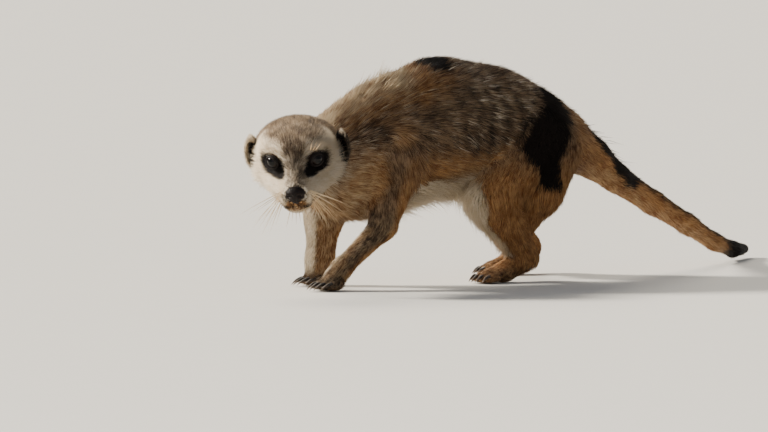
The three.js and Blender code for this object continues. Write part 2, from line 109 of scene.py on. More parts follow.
class Cone:
    """A round cone from a to b; wide stretches its section across X. The coat changes from end to end."""

    def __init__(self, a, b, ra, rb, wide=1.0, coats=("back", "back"), flow=1.0):
        self.a, self.b = np.array(a, float), np.array(b, float)
        self.ra, self.rb, self.wide, self.flow = ra, rb, wide, flow
        self.coats = np.array([COATS[c] for c in coats])
        self.axis = (self.b - self.a) / np.linalg.norm(self.b - self.a)

    def distance(self, x, y, z):
        """How far off its surface is, below zero inside it, and how far along it that is, from 0 to 1."""
        d = (self.b - self.a) / (self.wide, 1, 1)
        px, py, pz = (x - self.a[0]) / self.wide, y - self.a[1], z - self.a[2]
        t = np.clip((px * d[0] + py * d[1] + pz * d[2]) / (d @ d), 0, 1)
        gap = np.sqrt((px - t * d[0]) ** 2 + (py - t * d[1]) ** 2 + (pz - t * d[2]) ** 2)
        return (gap - (self.ra + (self.rb - self.ra) * t)) * min(1.0, self.wide), t


def chain(stations, wide=1.0, flow=1.0):
    """Cones from station to station, each station (point, radius, coat)."""
    pairs = zip(stations, stations[1:])
    return [Cone(a[0], b[0], a[1], b[1], wide, (a[2], b[2]), flow) for a, b in pairs]


def both_sides(a, b, *rest):
    """A cone of the left side and the same one of the right."""
    return [Cone(np.array(a) * (s, 1, 1), np.array(b) * (s, 1, 1), *rest) for s in (1, -1)]


# The trunk seen from the side: how far back, its top and its bottom.
TRUNK_LINE = [(-76, 109, 38), (-52, 122, 46), (-10, 136, 54), (28, 129, 55), (60, 115, 58), (82, 102, 63)]
TRUNK = chain([
    ((0, y, (top + low) / 2), (top - low) / 2 - 1, "nape" if y < -60 else "back")
    for y, top, low in TRUNK_LINE
], wide=0.8)
NECK = chain([
    ((0, -78, 84.5), 22, "nape"),
    ((3, -100, 79.5), 17.5, "nape"),
    ((9, -118, 82), 18, "nape"),
], flow=-1)
TAIL = chain([
    ((0, 82, 81), 18, "back"),
    ((0, 104, 71.5), 12.2, "tail"),
    ((-1, 125, 57.5), 8.6, "tail"),
    ((-6, 157, 41), 7.4, "tail"),
    ((-13, 189, 26), 6.5, "tail"),
    ((-23, 217, 13.5), 5.6, "tail"),
    ((-37, 242, 7), 4.8, "tip"),
    ((-52, 262, 5.6), 3.6, "tip"),
])
# Bones run from the body down, and muscle lies behind the upper one; toes is where the toes start, and
# heading is which way they point, in degrees to the animal's left.
Leg = namedtuple("Leg", "bones muscle toes heading")
LEGS = {
    "front_left": Leg(
        bones=[
            ((15, -60, 80), 20, "shoulder"), ((24, -68, 38), 7.8, "shank"), ((21.5, -98, 13), 5.9, "shank"),
            ((20.5, -103, 6.4), 6.6, "foot"),
        ],
        muscle=[((14, -54, 74), 16, "shoulder"), ((22, -59, 50), 8, "shoulder")],
        toes=(20, -108, 4),
        heading=12,
    ),
    "front_right": Leg(
        bones=[
            ((-15, -60, 80), 20, "shoulder"), ((-21, -80, 42), 11.5, "shank"),
            ((-19.5, -84.5, 14), 8.2, "shank"), ((-19, -86, 6.4), 6.6, "foot"),
        ],
        muscle=[((-14, -54, 74), 16, "shoulder"), ((-21, -68, 50), 9, "shoulder")],
        toes=(-18.5, -91, 4),
        heading=4,
    ),
    "hind_left": Leg(
        bones=[
            ((13, 46, 85), 27, "thigh"), ((24, 12, 50.6), 15.5, "knee"), ((26, 36, 14), 7.8, "shank"),
            ((26, 20, 6.2), 6.4, "foot"),
        ],
        muscle=[((14, 62, 78), 22, "thigh"), ((23, 49, 53), 14.5, "thigh"), ((25, 38, 37), 8.5, "shank")],
        toes=(26, 6, 4),
        heading=6,
    ),
    "hind_right": Leg(
        bones=[
            ((-13, 54, 85), 27, "thigh"), ((-24, 46, 50), 15.5, "knee"), ((-26, 76, 16), 7.8, "shank"),
            ((-25.5, 60, 6.2), 6.4, "foot"),
        ],
        muscle=[((-14, 68, 76), 20, "thigh"), ((-23, 68, 53), 13, "thigh"), ((-25, 69, 37), 8.5, "shank")],
        toes=(-25, 46, 4),
        heading=-4,
    ),
}
# Toes by their place across the foot, counted from its middle: they are this many millimetres apart,
# and each turns out by this many degrees more than the last.
TOES = (-1.5, -0.5, 0.5, 1.5)
TOE_SPREAD = 4.6
TOE_FAN = 5
CLAW_LENGTH = {"front": 10.0, "hind": 6.5}


def toe_frame(leg, n):
    """Where a toe starts on the floor and which way it points: (root, ahead)."""
    turn = math.radians(LEGS[leg].heading) - math.radians(TOE_FAN * n)
    ahead = np.array((math.sin(turn), -math.cos(turn), 0))
    across = np.array((math.cos(turn), math.sin(turn), 0))
    set_back = 2.4 * abs(n) - 1.2  # the outer toes start further back
    return np.array((*LEGS[leg].toes[:2], 0)) + across * n * TOE_SPREAD - ahead * set_back, ahead


def leg_groups():
    """For each leg, and then for its sole and toes: how softly the cones join, the cones and the leg."""
    groups = []
    for name, leg in LEGS.items():
        groups.append((6, chain(leg.bones) + chain(leg.muscle), name))
        ball = leg.bones[-1][0]
        sole = [Cone(ball, np.array(leg.toes) + (0, 1, 0.4), 6, 4.6, 1.3, ("foot", "foot"))]
        for n in TOES:
            root, ahead = toe_frame(name, n)
            start, end = root - ahead * 2.6 + (0, 0, 3.7), root + ahead * 4.4 + (0, 0, 3.0)
            sole.append(Cone(start, end, 3.2, 2.6, 0.86, ("foot", "foot")))
        groups.append((2, sole, name))
    return groups


HEAD = [
    Cone((0, 9, -1), (0, -9, 1.5), 18.8, 16.6, 1.41, ("skull", "skull")),
    *both_sides((15.5, 1, -11), (9, -20, -14), 12, 8.6, 1, ("cheek", "cheek")),
    *both_sides((7, -14, 7.5), (13, -6, 6), 7, 9, 1, ("skull", "skull")),
    Cone((0, -16, -3), (0, -36, -10), 12, 6.2, 1.05, ("skull", "muzzle")),
    *both_sides((5.5, -27, -14), (4.8, -35.5, -14.8), 7.5, 5.6, 1, ("muzzle", "muzzle")),
    Cone((0, -6, -17), (0, -33, -20.5), 10, 6, 1.25, ("cheek", "muzzle")),
]
HEAD_SOFT = 6
EYE_HOLLOW = both_sides((14, -26.5, 3.2), (10, -30, -0.5), 4.4, 2.6)
MOUTH_LINE = [
    (0, -41.5, -18.3), (3.2, -39.6, -18.9), (6.6, -36, -18.0), (9.4, -31, -16.6), (11.5, -25.5, -15.2),
]
LEG_GROUPS = leg_groups()
# Each of the body's cones with its region: the tufts there follow the cone.
BODY_CONES = [(c, "trunk") for c in TRUNK] + [(c, "neck") for c in NECK] + [(c, "tail") for c in TAIL]
BODY_CONES += [(c, name) for _, cones, name in LEG_GROUPS for c in cones]
REGIONS = ("trunk", "neck", "tail", "head", *LEGS)


def blend(a, b, soft):
    """The lesser of two distances, rounded over where they are within soft of each other."""
    h = np.maximum(soft - np.abs(a - b), 0) / soft
    return np.minimum(a, b) - h * h * soft / 4


def union(cones, soft, x, y, z):
    """The distance to the nearest of the cones, which join within soft of each other."""
    d = cones[0].distance(x, y, z)[0]
    for c in cones[1:]:
        d = blend(d, c.distance(x, y, z)[0], soft)
    return d


def into_head(points):
    """Places in the body's frame, given in the head's."""
    return (points - HEAD_AT) @ HEAD_TURN


def out_of_head(points):
    """Places in the head's frame, given in the body's."""
    return np.asarray(points) @ HEAD_TURN.T + HEAD_AT


def draw_onto(field, points, target=0.0, steps=2, reach=0.4):
    """Points moved along the field's slope, taken over that reach, to where it has the target value."""
    for _ in range(steps):
        value = field(points)
        g = np.stack([(field(points + ahead) - value) / reach for ahead in np.eye(3) * reach], 1)
        points = points - g * ((value - target) / np.maximum((g * g).sum(1), 0.3))[:, None]
    return points


def mouth():
    """The groove between the lips: its line drawn onto the skin, on both sides."""
    line = draw_onto(lambda q: union(HEAD, HEAD_SOFT, *q.T), np.array(MOUTH_LINE, float), -0.7, 4)
    return [Cone(a * (s, 1, 1), b * (s, 1, 1), 0.9, 0.7) for s in (1, -1) for a, b in zip(line, line[1:])]


def direction(*vector):
    """One vector at length one."""
    return np.array(vector) / np.linalg.norm(vector)


def unit(vectors):
    """Rows of vectors, each at length one."""
    return vectors / np.maximum(np.linalg.norm(vectors, axis=1), 1e-9)[:, None]


def head_field(q, detail):
    """The head's outer surface; detail adds the eyes' sockets and the groove of the mouth."""
    x, y, z = q.T
    d = -blend(-union(HEAD, HEAD_SOFT, x, y, z), union(EYE_HOLLOW, 1, x, y, z), 4)
    if detail:
        for s in SIDES.values():
            eye = np.sqrt(((q - EYE_AT * (s, 1, 1)) ** 2).sum(1)) - (EYE_RADIUS + 0.2)
            d = -blend(-d, eye, 0.8)
        d = -blend(-d, union(MOUTH, 0.5, x, y, z), 1.2)
    return d


def outline(points, detail=False):
    """The distance to the coat's outer surface, below zero inside it.

    Each number says how softly a form joins, over how many millimetres.
    """
    x, y, z = points.T
    d = blend(union(TRUNK, 10, x, y, z), union(NECK, 6, x, y, z), 10)
    d = blend(d, union(TAIL, 4, x, y, z), 8)
    d = blend(d, head_field(into_head(points), detail), 8)
    for soft, cones, _ in LEG_GROUPS:
        d = blend(d, union(cones, soft, x, y, z), soft + 1)
    return d


MOUTH = mouth()


def survey(points, spread=2.5):
    """What the coat is like near each point: (coat's columns, flow, regions' weights).

    It is the mean over all cones, which count for less the further off they are, over that spread.
    """
    x, y, z = points.T
    q = into_head(points)
    rows = [(c.distance(x, y, z), c, region) for c, region in BODY_CONES]
    rows += [(c.distance(*q.T), c, "head") for c in HEAD]
    nearest = np.min([d for (d, _), _, _ in rows], axis=0)
    coat, flow, total = np.zeros((len(points), 5)), np.zeros((len(points), 3)), np.zeros(len(points))
    regions = {name: np.zeros(len(points)) for name in REGIONS}
    over_head = unit(q - (0, -50, -2)) + np.stack([0 * x, 0.5 + 0 * x, -0.25 * (q[:, 2] < 0)], 1)
    over_head = over_head @ HEAD_TURN.T
    for (d, t), cone, region in rows:
        w = np.exp(-(d - nearest) / spread)
        coat += w[:, None] * (cone.coats[0] + (cone.coats[1] - cone.coats[0]) * t[:, None])
        flow += w[:, None] * (over_head if region == "head" else cone.axis * cone.flow)
        regions[region] += w
        total += w
    return coat / total[:, None], flow / total[:, None], {k: w / total for k, w in regions.items()}


# ---------- meshes ----------
def eye_centre():
    """The middle between both eyes' solids."""
    boxes = [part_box("eye_left"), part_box("eye_right")]
    return sum((np.array(low) + np.array(high) for low, high in boxes), np.zeros(3)) / 4


# The body frame's place in the model's frame.
SHIFT = out_of_head([EYE_AT * (0, 1, 1)])[0] - eye_centre() * 1000


def to_model(points):
    """Body-frame millimetres to metres in the model's frame."""
    return (np.asarray(points, float) - SHIFT) / 1000


def mesh_object(name, points, faces, material):
    """A piece from points in the model's frame and faces, either an array of triangles or of quads."""
    mesh = bpy.data.meshes.new(name)
    faces = np.asarray(faces, np.int32)
    mesh.vertices.add(len(points))
    mesh.vertices.foreach_set("co", np.asarray(points, np.float32).ravel())
    mesh.loops.add(faces.size)
    mesh.loops.foreach_set("vertex_index", faces.ravel())
    mesh.polygons.add(len(faces))
    mesh.polygons.foreach_set("loop_start", np.arange(0, faces.size, faces.shape[1], dtype=np.int32))
    mesh.update(calc_edges=True)
    mesh.polygons.foreach_set("use_smooth", np.ones(len(faces), bool))
    mesh.validate()
    mesh.materials.append(material)
    return link(bpy.data.objects.new(name, mesh))


def link(obj):
    """Puts an object in the scene."""
    bpy.context.scene.collection.objects.link(obj)
    return obj


def put(mesh, name, kind, values):
    """Stores one value for each vertex under a name."""
    layer = mesh.attributes.new(name, kind, "POINT")
    key = "color" if kind == "FLOAT_COLOR" else "value"
    layer.data.foreach_set(key, np.asarray(values, np.float32).ravel())


def paint(piece, marks, grain, along):
    """Stores what the coat's material reads: markings, light or dark hair, and the place along a hair."""
    put(piece.data, "marks", "FLOAT_COLOR", marks)
    put(piece.data, "grain", "FLOAT", grain)
    put(piece.data, "along", "FLOAT", along)


def ring_faces(rows, around, joined=False):
    """Quads between rows of points, each a closed ring; joined runs from the last row to the first too."""
    i, j = np.meshgrid(np.arange(rows if joined else rows - 1), np.arange(around), indexing="ij")
    below, beside = (i + 1) % rows, (j + 1) % around
    quads = [i * around + j, below * around + j, below * around + beside, i * around + beside]
    return np.stack(quads, -1).reshape(-1, 4)


def graded(low, high, fine_low, fine_high, fine, coarse):
    """Grid lines from low to high, close together between fine_low and fine_high."""
    before = np.arange(fine_low, low - coarse, -coarse)[:0:-1]
    middle = np.arange(fine_low, fine_high, fine)
    return np.concatenate([before, middle, np.arange(middle[-1] + fine, high + coarse, coarse)])


def net(value, lines):
    """A closed surface of quads where the gridded value crosses zero.

    Each cell of the grid that it crosses holds one of its points, at the mean of the crossed edges.
    """
    inside = value < 0
    low = [slice(None, -1), slice(1, None)]
    corners = [(i, j, k) for k in (0, 1) for j in (0, 1) for i in (0, 1)]
    count = sum(inside[low[i], low[j], low[k]].astype(np.int8) for i, j, k in corners)
    cells = np.argwhere((count > 0) & (count < 8))
    index = np.full(count.shape, -1, np.int32)
    index[tuple(cells.T)] = np.arange(len(cells))
    held = {c: value[tuple((cells + c).T)] for c in corners}
    total, crossed = np.zeros((len(cells), 3)), np.zeros(len(cells))
    for a in corners:
        for axis in range(3):
            if a[axis]:
                continue
            b = tuple(1 if i == axis else n for i, n in enumerate(a))
            cut = (held[a] < 0) != (held[b] < 0)
            t = np.where(cut, held[a] / np.where(cut, held[a] - held[b], 1), 0)
            at = np.array(a, float)[None] + t[:, None] * (np.array(b) - np.array(a))
            total += at * cut[:, None]
            crossed += cut
    inner = total / crossed[:, None]
    low_corner = [l[cells[:, i]] for i, l in enumerate(lines)]
    size = [l[cells[:, i] + 1] - l[cells[:, i]] for i, l in enumerate(lines)]
    points = np.stack([low_corner[i] + inner[:, i] * size[i] for i in range(3)], 1)
    quads = []
    for axis in range(3):
        u, w = (axis + 1) % 3, (axis + 2) % 3
        ahead = [slice(None)] * 3
        ahead[axis] = slice(1, None)
        behind = [slice(None)] * 3
        behind[axis] = slice(None, -1)
        here, there = inside[tuple(behind)], inside[tuple(ahead)]
        at = np.argwhere(here != there)
        at = at[(at[:, u] > 0) & (at[:, w] > 0)]
        at = at[(at[:, u] < value.shape[u] - 1) & (at[:, w] < value.shape[w] - 1)]
        ring = []
        for s, t in ((0, 0), (1, 0), (1, 1), (0, 1)):
            cell = at.copy()
            cell[:, u] -= s
            cell[:, w] -= t
            ring.append(index[tuple(cell.T)])
        ring = np.stack(ring, 1)
        turned = ~inside[tuple(at.T)]
        ring[turned] = ring[turned][:, ::-1]
        quads.append(ring)
    return points, np.concatenate(quads)


def neighbours_mean(points, quads):
    """The mean of each point's neighbours along the quads' edges."""
    a, b = quads.ravel(), np.roll(quads, -1, 1).ravel()
    count = np.bincount(a, minlength=len(points)).astype(float)
    return np.stack([np.bincount(a, points[b, i], len(points)) for i in range(3)], 1) / count[:, None]


def grid_points(lines):
    """Every crossing of the grid's lines."""
    return np.stack(np.meshgrid(*lines, indexing="ij"), -1).reshape(-1, 3)


def between_lines(lines, coarse_lines, coarse_values):
    """Values at every crossing of the lines, from those at the crossings of the coarse lines."""
    values = coarse_values
    for axis, (fine, rough) in enumerate(zip(lines, coarse_lines)):
        place = np.clip(np.interp(fine, rough, np.arange(len(rough))), 0, len(rough) - 1.001)
        low = place.astype(int)
        part = (place - low).reshape([-1 if i == axis else 1 for i in range(3)])
        values = np.take(values, low, axis) * (1 - part) + np.take(values, low + 1, axis) * part
    return values


# The skin's distance is worked out on a rough grid, and once more in full wherever the rough value is
# near zero, in parts of this many points. The soles stay just above the floor.
ROUGH_STEP, NEAR_SKIN, SOLE_GAP = 6, 7, 0.2
PART_SIZE = 300000


def skin_surface(fine, coarse):
    """The skin under the coat, standing flat on the floor: (points, quads), in the body's frame."""
    # Across, back and up: where the grid starts and ends, and where the finer one of the head does.
    lines = [
        graded(-62, 52, -14, 54, fine, coarse),
        graded(-182, 272, -178, -94, fine, coarse),
        graded(-3, 142, 52, 116, fine, coarse),
    ]
    rough = [np.arange(l[0], l[-1] + ROUGH_STEP, ROUGH_STEP) for l in lines]
    shape = [len(l) for l in rough]
    rough_points = grid_points(rough)
    rough_depth = (survey(rough_points)[0][:, DEPTH] * SKIN_SHARE).reshape(shape)
    rough_outline = outline(rough_points).reshape(shape)
    depth = between_lines(lines, rough, rough_depth).astype(np.float32)
    value = between_lines(lines, rough, rough_outline).astype(np.float32) + depth
    near = np.argwhere(np.abs(value) < NEAR_SKIN)
    for part in np.array_split(near, max(1, len(near) // PART_SIZE)):
        at = np.stack([l[part[:, i]] for i, l in enumerate(lines)], 1)
        exact = outline(at, detail=True) + depth[tuple(part.T)]
        value[tuple(part.T)] = np.maximum(exact, SOLE_GAP - at[:, 2])
    return net(value, lines)


def quad_normals(points, quads):
    """The way the surface faces at each of its points."""
    n = np.cross(points[quads[:, 2]] - points[quads[:, 0]], points[quads[:, 3]] - points[quads[:, 1]])
    total = np.stack([np.bincount(quads.ravel(), np.repeat(n[:, i], 4), len(points)) for i in range(3)], 1)
    return unit(total)


# ---------- markings ----------
# A marking is a share from 0 to 1, worked out from the place in millimetres and the way the surface
# faces. The four shares are columns: dark, pale, warm and grey.
PALE = 1


def ramp(x, low, high):
    """Zero at low and below, one at high and above."""
    t = np.clip((x - low) / (high - low), 0, 1)
    return t * t * (3 - 2 * t)


def wobble(p, length, turn=0.0):
    """A smooth, irregular wave of about that length, from -1 to 1."""
    k = 2 * math.pi / length
    x, y, z = p.T
    a = np.sin(k * (x + 0.6 * y) + 1.3 + turn) + np.sin(k * (0.8 * z - 0.7 * x) + 2.1 * turn + 0.4)
    b = np.sin(1.7 * k * (y - 0.5 * z) + turn * 3.1) + np.sin(2.3 * k * (0.7 * x + 0.3 * z) + 5 * turn)
    return (a + 0.6 * b) / 3.2


def blob(p, at, half, turn=0.0, soft=0.25):
    """One inside an ellipsoid and zero outside, turned about X by degrees."""
    d = p - np.array(at, float)
    c, s = math.cos(math.radians(turn)), math.sin(math.radians(turn))
    y, z = c * d[:, 1] + s * d[:, 2], c * d[:, 2] - s * d[:, 1]
    r = np.sqrt((d[:, 0] / half[0]) ** 2 + (y / half[1]) ** 2 + (z / half[2]) ** 2)
    return 1 - ramp(r, 1 - soft, 1 + soft)


def streak(p, a, b, half):
    """One along a line from a to b, fading to zero past its half width."""
    return 1 - ramp(Cone(a, b, 0, 0).distance(*p.T)[0], 0.6 * half, 1.4 * half)


def hind_axis(x, z):
    """How far back the bones of the hind leg on that side are at a height."""
    legs = [[at for at, _, _ in LEGS["hind_" + hand].bones[2::-1]] for hand in SIDES]
    left, right = (np.interp(z, [at[2] for at in joints], [at[1] for at in joints]) for joints in legs)
    return np.where(x > 0, left, right)


def body_marks(p, n, regions):
    """Shares of dark, pale, warm and grey on the body."""
    x, y, z = p.T
    rough = wobble(p, 9)
    fore = regions["front_left"] + regions["front_right"]
    hind = regions["hind_left"] + regions["hind_right"]
    tail = regions["tail"]
    trunk = regions["trunk"] + regions["neck"]

    # Dark: bands across the back, black patches on hump, haunch and tail's root, and the tail's top and tip.
    bands = np.sin(2 * math.pi * (y - 0.3 * np.abs(x) + 3 * wobble(p, 34, 2)) / 11)
    bands *= ramp(y, -30, -12) * ramp(-y, -76, -58) * ramp(z, 66, 96)
    dark = 0.5 * np.maximum(bands, 0) + 0.2 * trunk * ramp(z, 72, 96) * ramp(-n[:, 2], -0.95, -0.3)
    hump = blob(p, (5, -27, 132), (13, 12, 12))
    middle = blob(p, (33, 48, 90), (30, 18, 16), 0, 0.4)
    above = 0.9 * blob(p, (20, 56, 109), (22, 14, 14), 0, 0.4)
    below = streak(p * (0, 1, 1), (0, 49, 84), (0, 52, 68), 8)
    haunch = (1 - (1 - middle) * (1 - above) * (1 - below)) * (x > 2)
    base = streak(p, (2, 99, 86), (1, 127, 62), 9)
    edge = 0.22 * rough + 0.18 * wobble(p, 3.4, 6)
    black_patch = ramp(np.max([hump, haunch, base], axis=0) + edge, 0.1, 0.9)
    dark = np.maximum(dark, black_patch)
    dark = np.maximum(dark, tail * 0.72 * ramp(n[:, 2], 0.0, 0.8))
    dark = np.maximum(dark, ramp(y + 5 * rough, 214, 238))
    paw = ramp(-z, -13, -6)
    dark = np.maximum(dark, (0.42 * fore + 0.2 * hind) * paw)

    # Pale: belly, low flank, the legs' front edges and insides, nape, throat and single light hairs; part is
    # painted light.
    under = np.interp(y, *np.array(TRUNK_LINE)[:, (0, 2)].T) + 9 + 9 * ramp(-y, 0, 40)
    belly = np.maximum(ramp(-n[:, 2], 0.25, 0.8) * ramp(-z, -80, -58), ramp(under - z + 2 * rough, -3, 5))
    belly *= trunk * (1 - 0.6 * ramp(-y, 60, 85))
    inward = -n[:, 0] * np.sign(x)
    # The hind legs' pale front edges: partly their own paler hair, partly a painted sunlit rim.
    front_rim = hind * ramp(0.35 * inward - 0.92 * n[:, 1], 0.3, 0.7) * ramp(-z, -72, -56) * ramp(z, 12, 24)
    front_rim *= ramp(hind_axis(x, z) - y, -2, 5)
    # Painted light: a pale band down the forelegs' sides that face the key light, wide on the far right leg
    # and narrow on the near left one.
    facing_key = -0.8 * n[:, 1] - 0.45 * n[:, 0] + 0.3 * n[:, 2]
    fore_lit_band = regions["front_right"] * ramp(facing_key, 0.15, 0.6) * ramp(-z, -64, -46)
    fore_lit_band += regions["front_left"] * ramp(facing_key, 0.62, 0.95) * ramp(-z, -46, -34)
    fore_lit_band *= ramp(z, 6, 14)
    inside = (0.3 * fore + hind * ramp(z, 30, 48)) * ramp(inward, 0.3, 0.9)
    inside = inside * 0.75 * ramp(-np.abs(x), -24, -18)
    # Painted light: the nape's upward-facing hair paler, standing for sunlight on the top of the neck.
    nape = (0.66 + 0.2 * rough) * ramp(n[:, 2], 0.5, 0.98) * ramp(-y, 24, 56)
    flecks = 0.42 * np.maximum(-bands, 0) * (0.6 + 0.4 * rough)
    light_hair = 0.66 * (rng.random(len(p)) > 0.9) * trunk * ramp(z, 60, 80)
    chest = blob(p, (12, -96, 64), (24, 24, 22), 0, 0.5) * trunk
    throat = np.maximum(0.5 * ramp(-n[:, 2], 0.2, 0.9) * ramp(-y, 84, 100) * trunk, 0.42 * chest)
    collar = 0.4 * blob(p, (24, -112, 88), (18, 15, 24), 0, 0.5) * trunk
    beneath_tail = 0.3 * tail * ramp(-n[:, 2], 0.1, 0.5)
    low_flank = 0.58 * ramp(-z, -84, -64) * regions["trunk"] * ramp(y, -40, -10)
    pale = np.max([
        0.95 * belly, low_flank, front_rim, 0.9 * fore_lit_band, inside, nape, flecks, throat, collar, light_hair,
        beneath_tail,
    ], axis=0)
    pale = np.clip(pale + 0.1 * rough, 0, 1)

    # Warm: legs, tail, rump, the flank's lower half and a painted sunlit top of the back. Grey: the flank
    # and the forelegs' fronts.
    behind = ramp(n[:, 1] - 0.4 * n[:, 2], -0.2, 0.6)
    leg = hind * ramp(-z, -96, -60) + fore * behind
    leg += 0.7 * regions["front_right"] * ramp(-z, -60, -44) * (1 - behind)
    # Painted light: the upward-facing top of the back in front turned gold as if sunlit; the rump's warmth
    # is its own.
    sunlit_top_and_rump = 1.1 * ramp(n[:, 2], 0.3, 0.8) * ramp(-y, 0, 50) + ramp(y, 62, 84) * (1 - tail)
    side_low = ramp(0.25 * np.clip(y, 0, 50) - z, -94, -70) * regions["trunk"]
    warm = np.max([0.9 * leg, 0.9 * tail, 0.85 * np.clip(sunlit_top_and_rump, 0, 1), side_low], axis=0)
    warm = np.maximum(warm, 0.55 * chest)
    # Less warm, so whiter, on the belly, the hind legs' front edges and the forelegs' painted lit band; on
    # the belly this partly paints the glow of backlit hair.
    warm = np.maximum(warm + 0.1 * rough, 0.08) * (1 - 0.7 * np.max([belly, front_rim, fore_lit_band], axis=0))
    grey = 0.3 * ramp(z, 84, 112) * ramp(-n[:, 2], -0.8, -0.3)
    # Grey on the forelegs' fronts: partly their own grizzle, partly painted shade, strongest on the near
    # left leg.
    fore_grizzle_and_shade = regions["front_left"] + 0.35 * regions["front_right"]
    grey = np.maximum(grey, 0.55 * fore_grizzle_and_shade * (1 - behind) * ramp(-z, -58, -40))
    return np.stack([dark, pale, warm * (1 - 0.5 * paw), grey], 1)


def head_marks(q):
    """Shares of dark, pale, warm and grey on the head, in its own frame."""
    x, y, z = q.T
    rough = wobble(q, 6, 1)
    side = np.abs(x)
    mirrored = np.stack([side, y, z], 1)
    patch = np.maximum(
        blob(mirrored, (12.6, -22, 1.6), (7.4, 13, 7.2), 0, 0.14),
        blob(mirrored, (8.9, -27, -1.8), (4.7, 9, 5.0), 0, 0.25),
    )
    dark = ramp(patch + 0.1 * rough, 0.35, 0.65)
    # Painted shade: the bridge of the muzzle darker and greyer between and below the eyes.
    bridge_shade = ramp(-side, -8, -3) * ramp(-y, 12, 28) * ramp(z, -13, -8)
    around_nose = blob(q, (0, -41.5, -11), (7.6, 4.5, 6))
    lips = 1 - ramp(union(MOUTH, 0.5, x, y, z), 0.4, 1.9)
    lips *= 0.5 + 0.35 * ramp(side, 2, 6)
    dark = np.max([dark, 0.36 * bridge_shade, 0.7 * around_nose, lips], axis=0)

    crown = ramp(z + rough, 8.5, 14) * ramp(-side, -24, -14)
    wedge = ramp(-(side - 0.45 * (z - 2)), -5.5, -1.5) * ramp(z, -3, 6)
    back = ramp(y, -3, 7) * ramp(z, -14, -4)
    grey = np.max([0.9 * crown, 0.8 * wedge, 0.85 * back, 0.6 * bridge_shade], axis=0)
    pale = np.clip(0.95 - 0.75 * ramp(y - 0.3 * z, -8, 8) - 0.85 * grey + 0.12 * rough, 0, 1)
    front = ramp(-y, 27, 35) * ramp(-side, -8, -4)
    lip_line = ramp(-z, 13.8, 15.5) * ramp(z, -19.5, -18.5)
    chin = np.maximum(lip_line, 0.75 * ramp(-z, 18, 19.5) * ramp(z, -24, -21)) * front
    temple = 0.3 * ramp(side, 12, 18) * ramp(z, -6, 2)
    warm = np.max([chin, 0.4 * ramp(y, -10, 8), 0.36 * grey, temple], axis=0)
    return np.stack([np.maximum(dark, 0.34 * chin), pale * (1 - 0.85 * chin), warm, 0.8 * grey], 1)


def markings(p, n, regions):
    """Shares of dark, pale, warm and grey everywhere, from the place, the way it faces and the region."""
    head = ramp(regions["head"], 0.35, 0.65)[:, None]
    return np.clip(body_marks(p, n, regions) * (1 - head) + head_marks(into_head(p)) * head, 0, 1)


# ---------- shader trees ----------
class Signal:
    """A value in a shader tree. Sums, differences and products of it add Math nodes."""

    def __init__(self, tree, socket):
        self.tree, self.socket = tree, socket

    def math(self, operation, *values):
        return self.tree.node("ShaderNodeMath", {"operation": operation}, dict(enumerate(values)))

    def __add__(self, other):
        return self.math("ADD", self, other)

    def __sub__(self, other):
        return self.math("SUBTRACT", self, other)

    def __rsub__(self, other):
        return self.math("SUBTRACT", other, self)

    def __mul__(self, other):
        return self.math("MULTIPLY", self, other)

    __radd__ = __add__
    __rmul__ = __mul__

    def between(self, low, high):
        """Zero at low and below, one at high and above."""
        settings = {"interpolation_type": "SMOOTHSTEP", "clamp": True}
        values = {"Value": self, "From Min": low, "From Max": high}
        return self.tree.node("ShaderNodeMapRange", settings, values)


class ShaderTree:
    """A new material's nodes."""

    def __init__(self, name):
        self.material = bpy.data.materials.new(name)
        self.material.use_nodes = True
        self.nodes, self.links = self.material.node_tree.nodes, self.material.node_tree.links
        self.nodes.clear()

    def node(self, kind, settings=None, values=None, output=0):
        """A node of that kind: its settings first, then the values or links of its sockets."""
        node = self.nodes.new(kind)
        for key, value in (settings or {}).items():
            setattr(node, key, value)
        for key, value in (values or {}).items():
            if isinstance(value, Signal):
                self.links.new(value.socket, node.inputs[key])
            else:
                node.inputs[key].default_value = value
        return Signal(self, node.outputs[output]) if node.outputs else None

    def mix(self, share, a, b, mode="MIX"):
        """From colour a to b by a share; each is a Signal or three numbers."""
        a, b = (value if isinstance(value, Signal) else (*value, 1.0) for value in (a, b))
        settings = {"data_type": "RGBA", "blend_type": mode, "clamp_factor": True}
        return self.node("ShaderNodeMix", settings, {0: share, 6: a, 7: b}, 2)

    def stored(self, name, output="Fac"):
        return self.node("ShaderNodeAttribute", {"attribute_name": name}, output=output)

    def place(self):
        return self.node("ShaderNodeTexCoord", output="Object")

    def noise(self, scale, detail, roughness=0.5):
        values = {"Vector": self.place(), "Scale": scale, "Detail": detail, "Roughness": roughness}
        return self.node("ShaderNodeTexNoise", None, values)

    def bump(self, height, distance, strength):
        values = {"Height": height, "Distance": distance, "Strength": strength}
        return self.node("ShaderNodeBump", None, values)

    def finish(self, **values):
        """Ends the tree in one Principled shader with these sockets."""
        values = {key.replace("_", " "): value for key, value in values.items()}
        shader = self.node("ShaderNodeBsdfPrincipled", None, values)
        self.node("ShaderNodeOutputMaterial", None, {"Surface": shader})
        return self.material


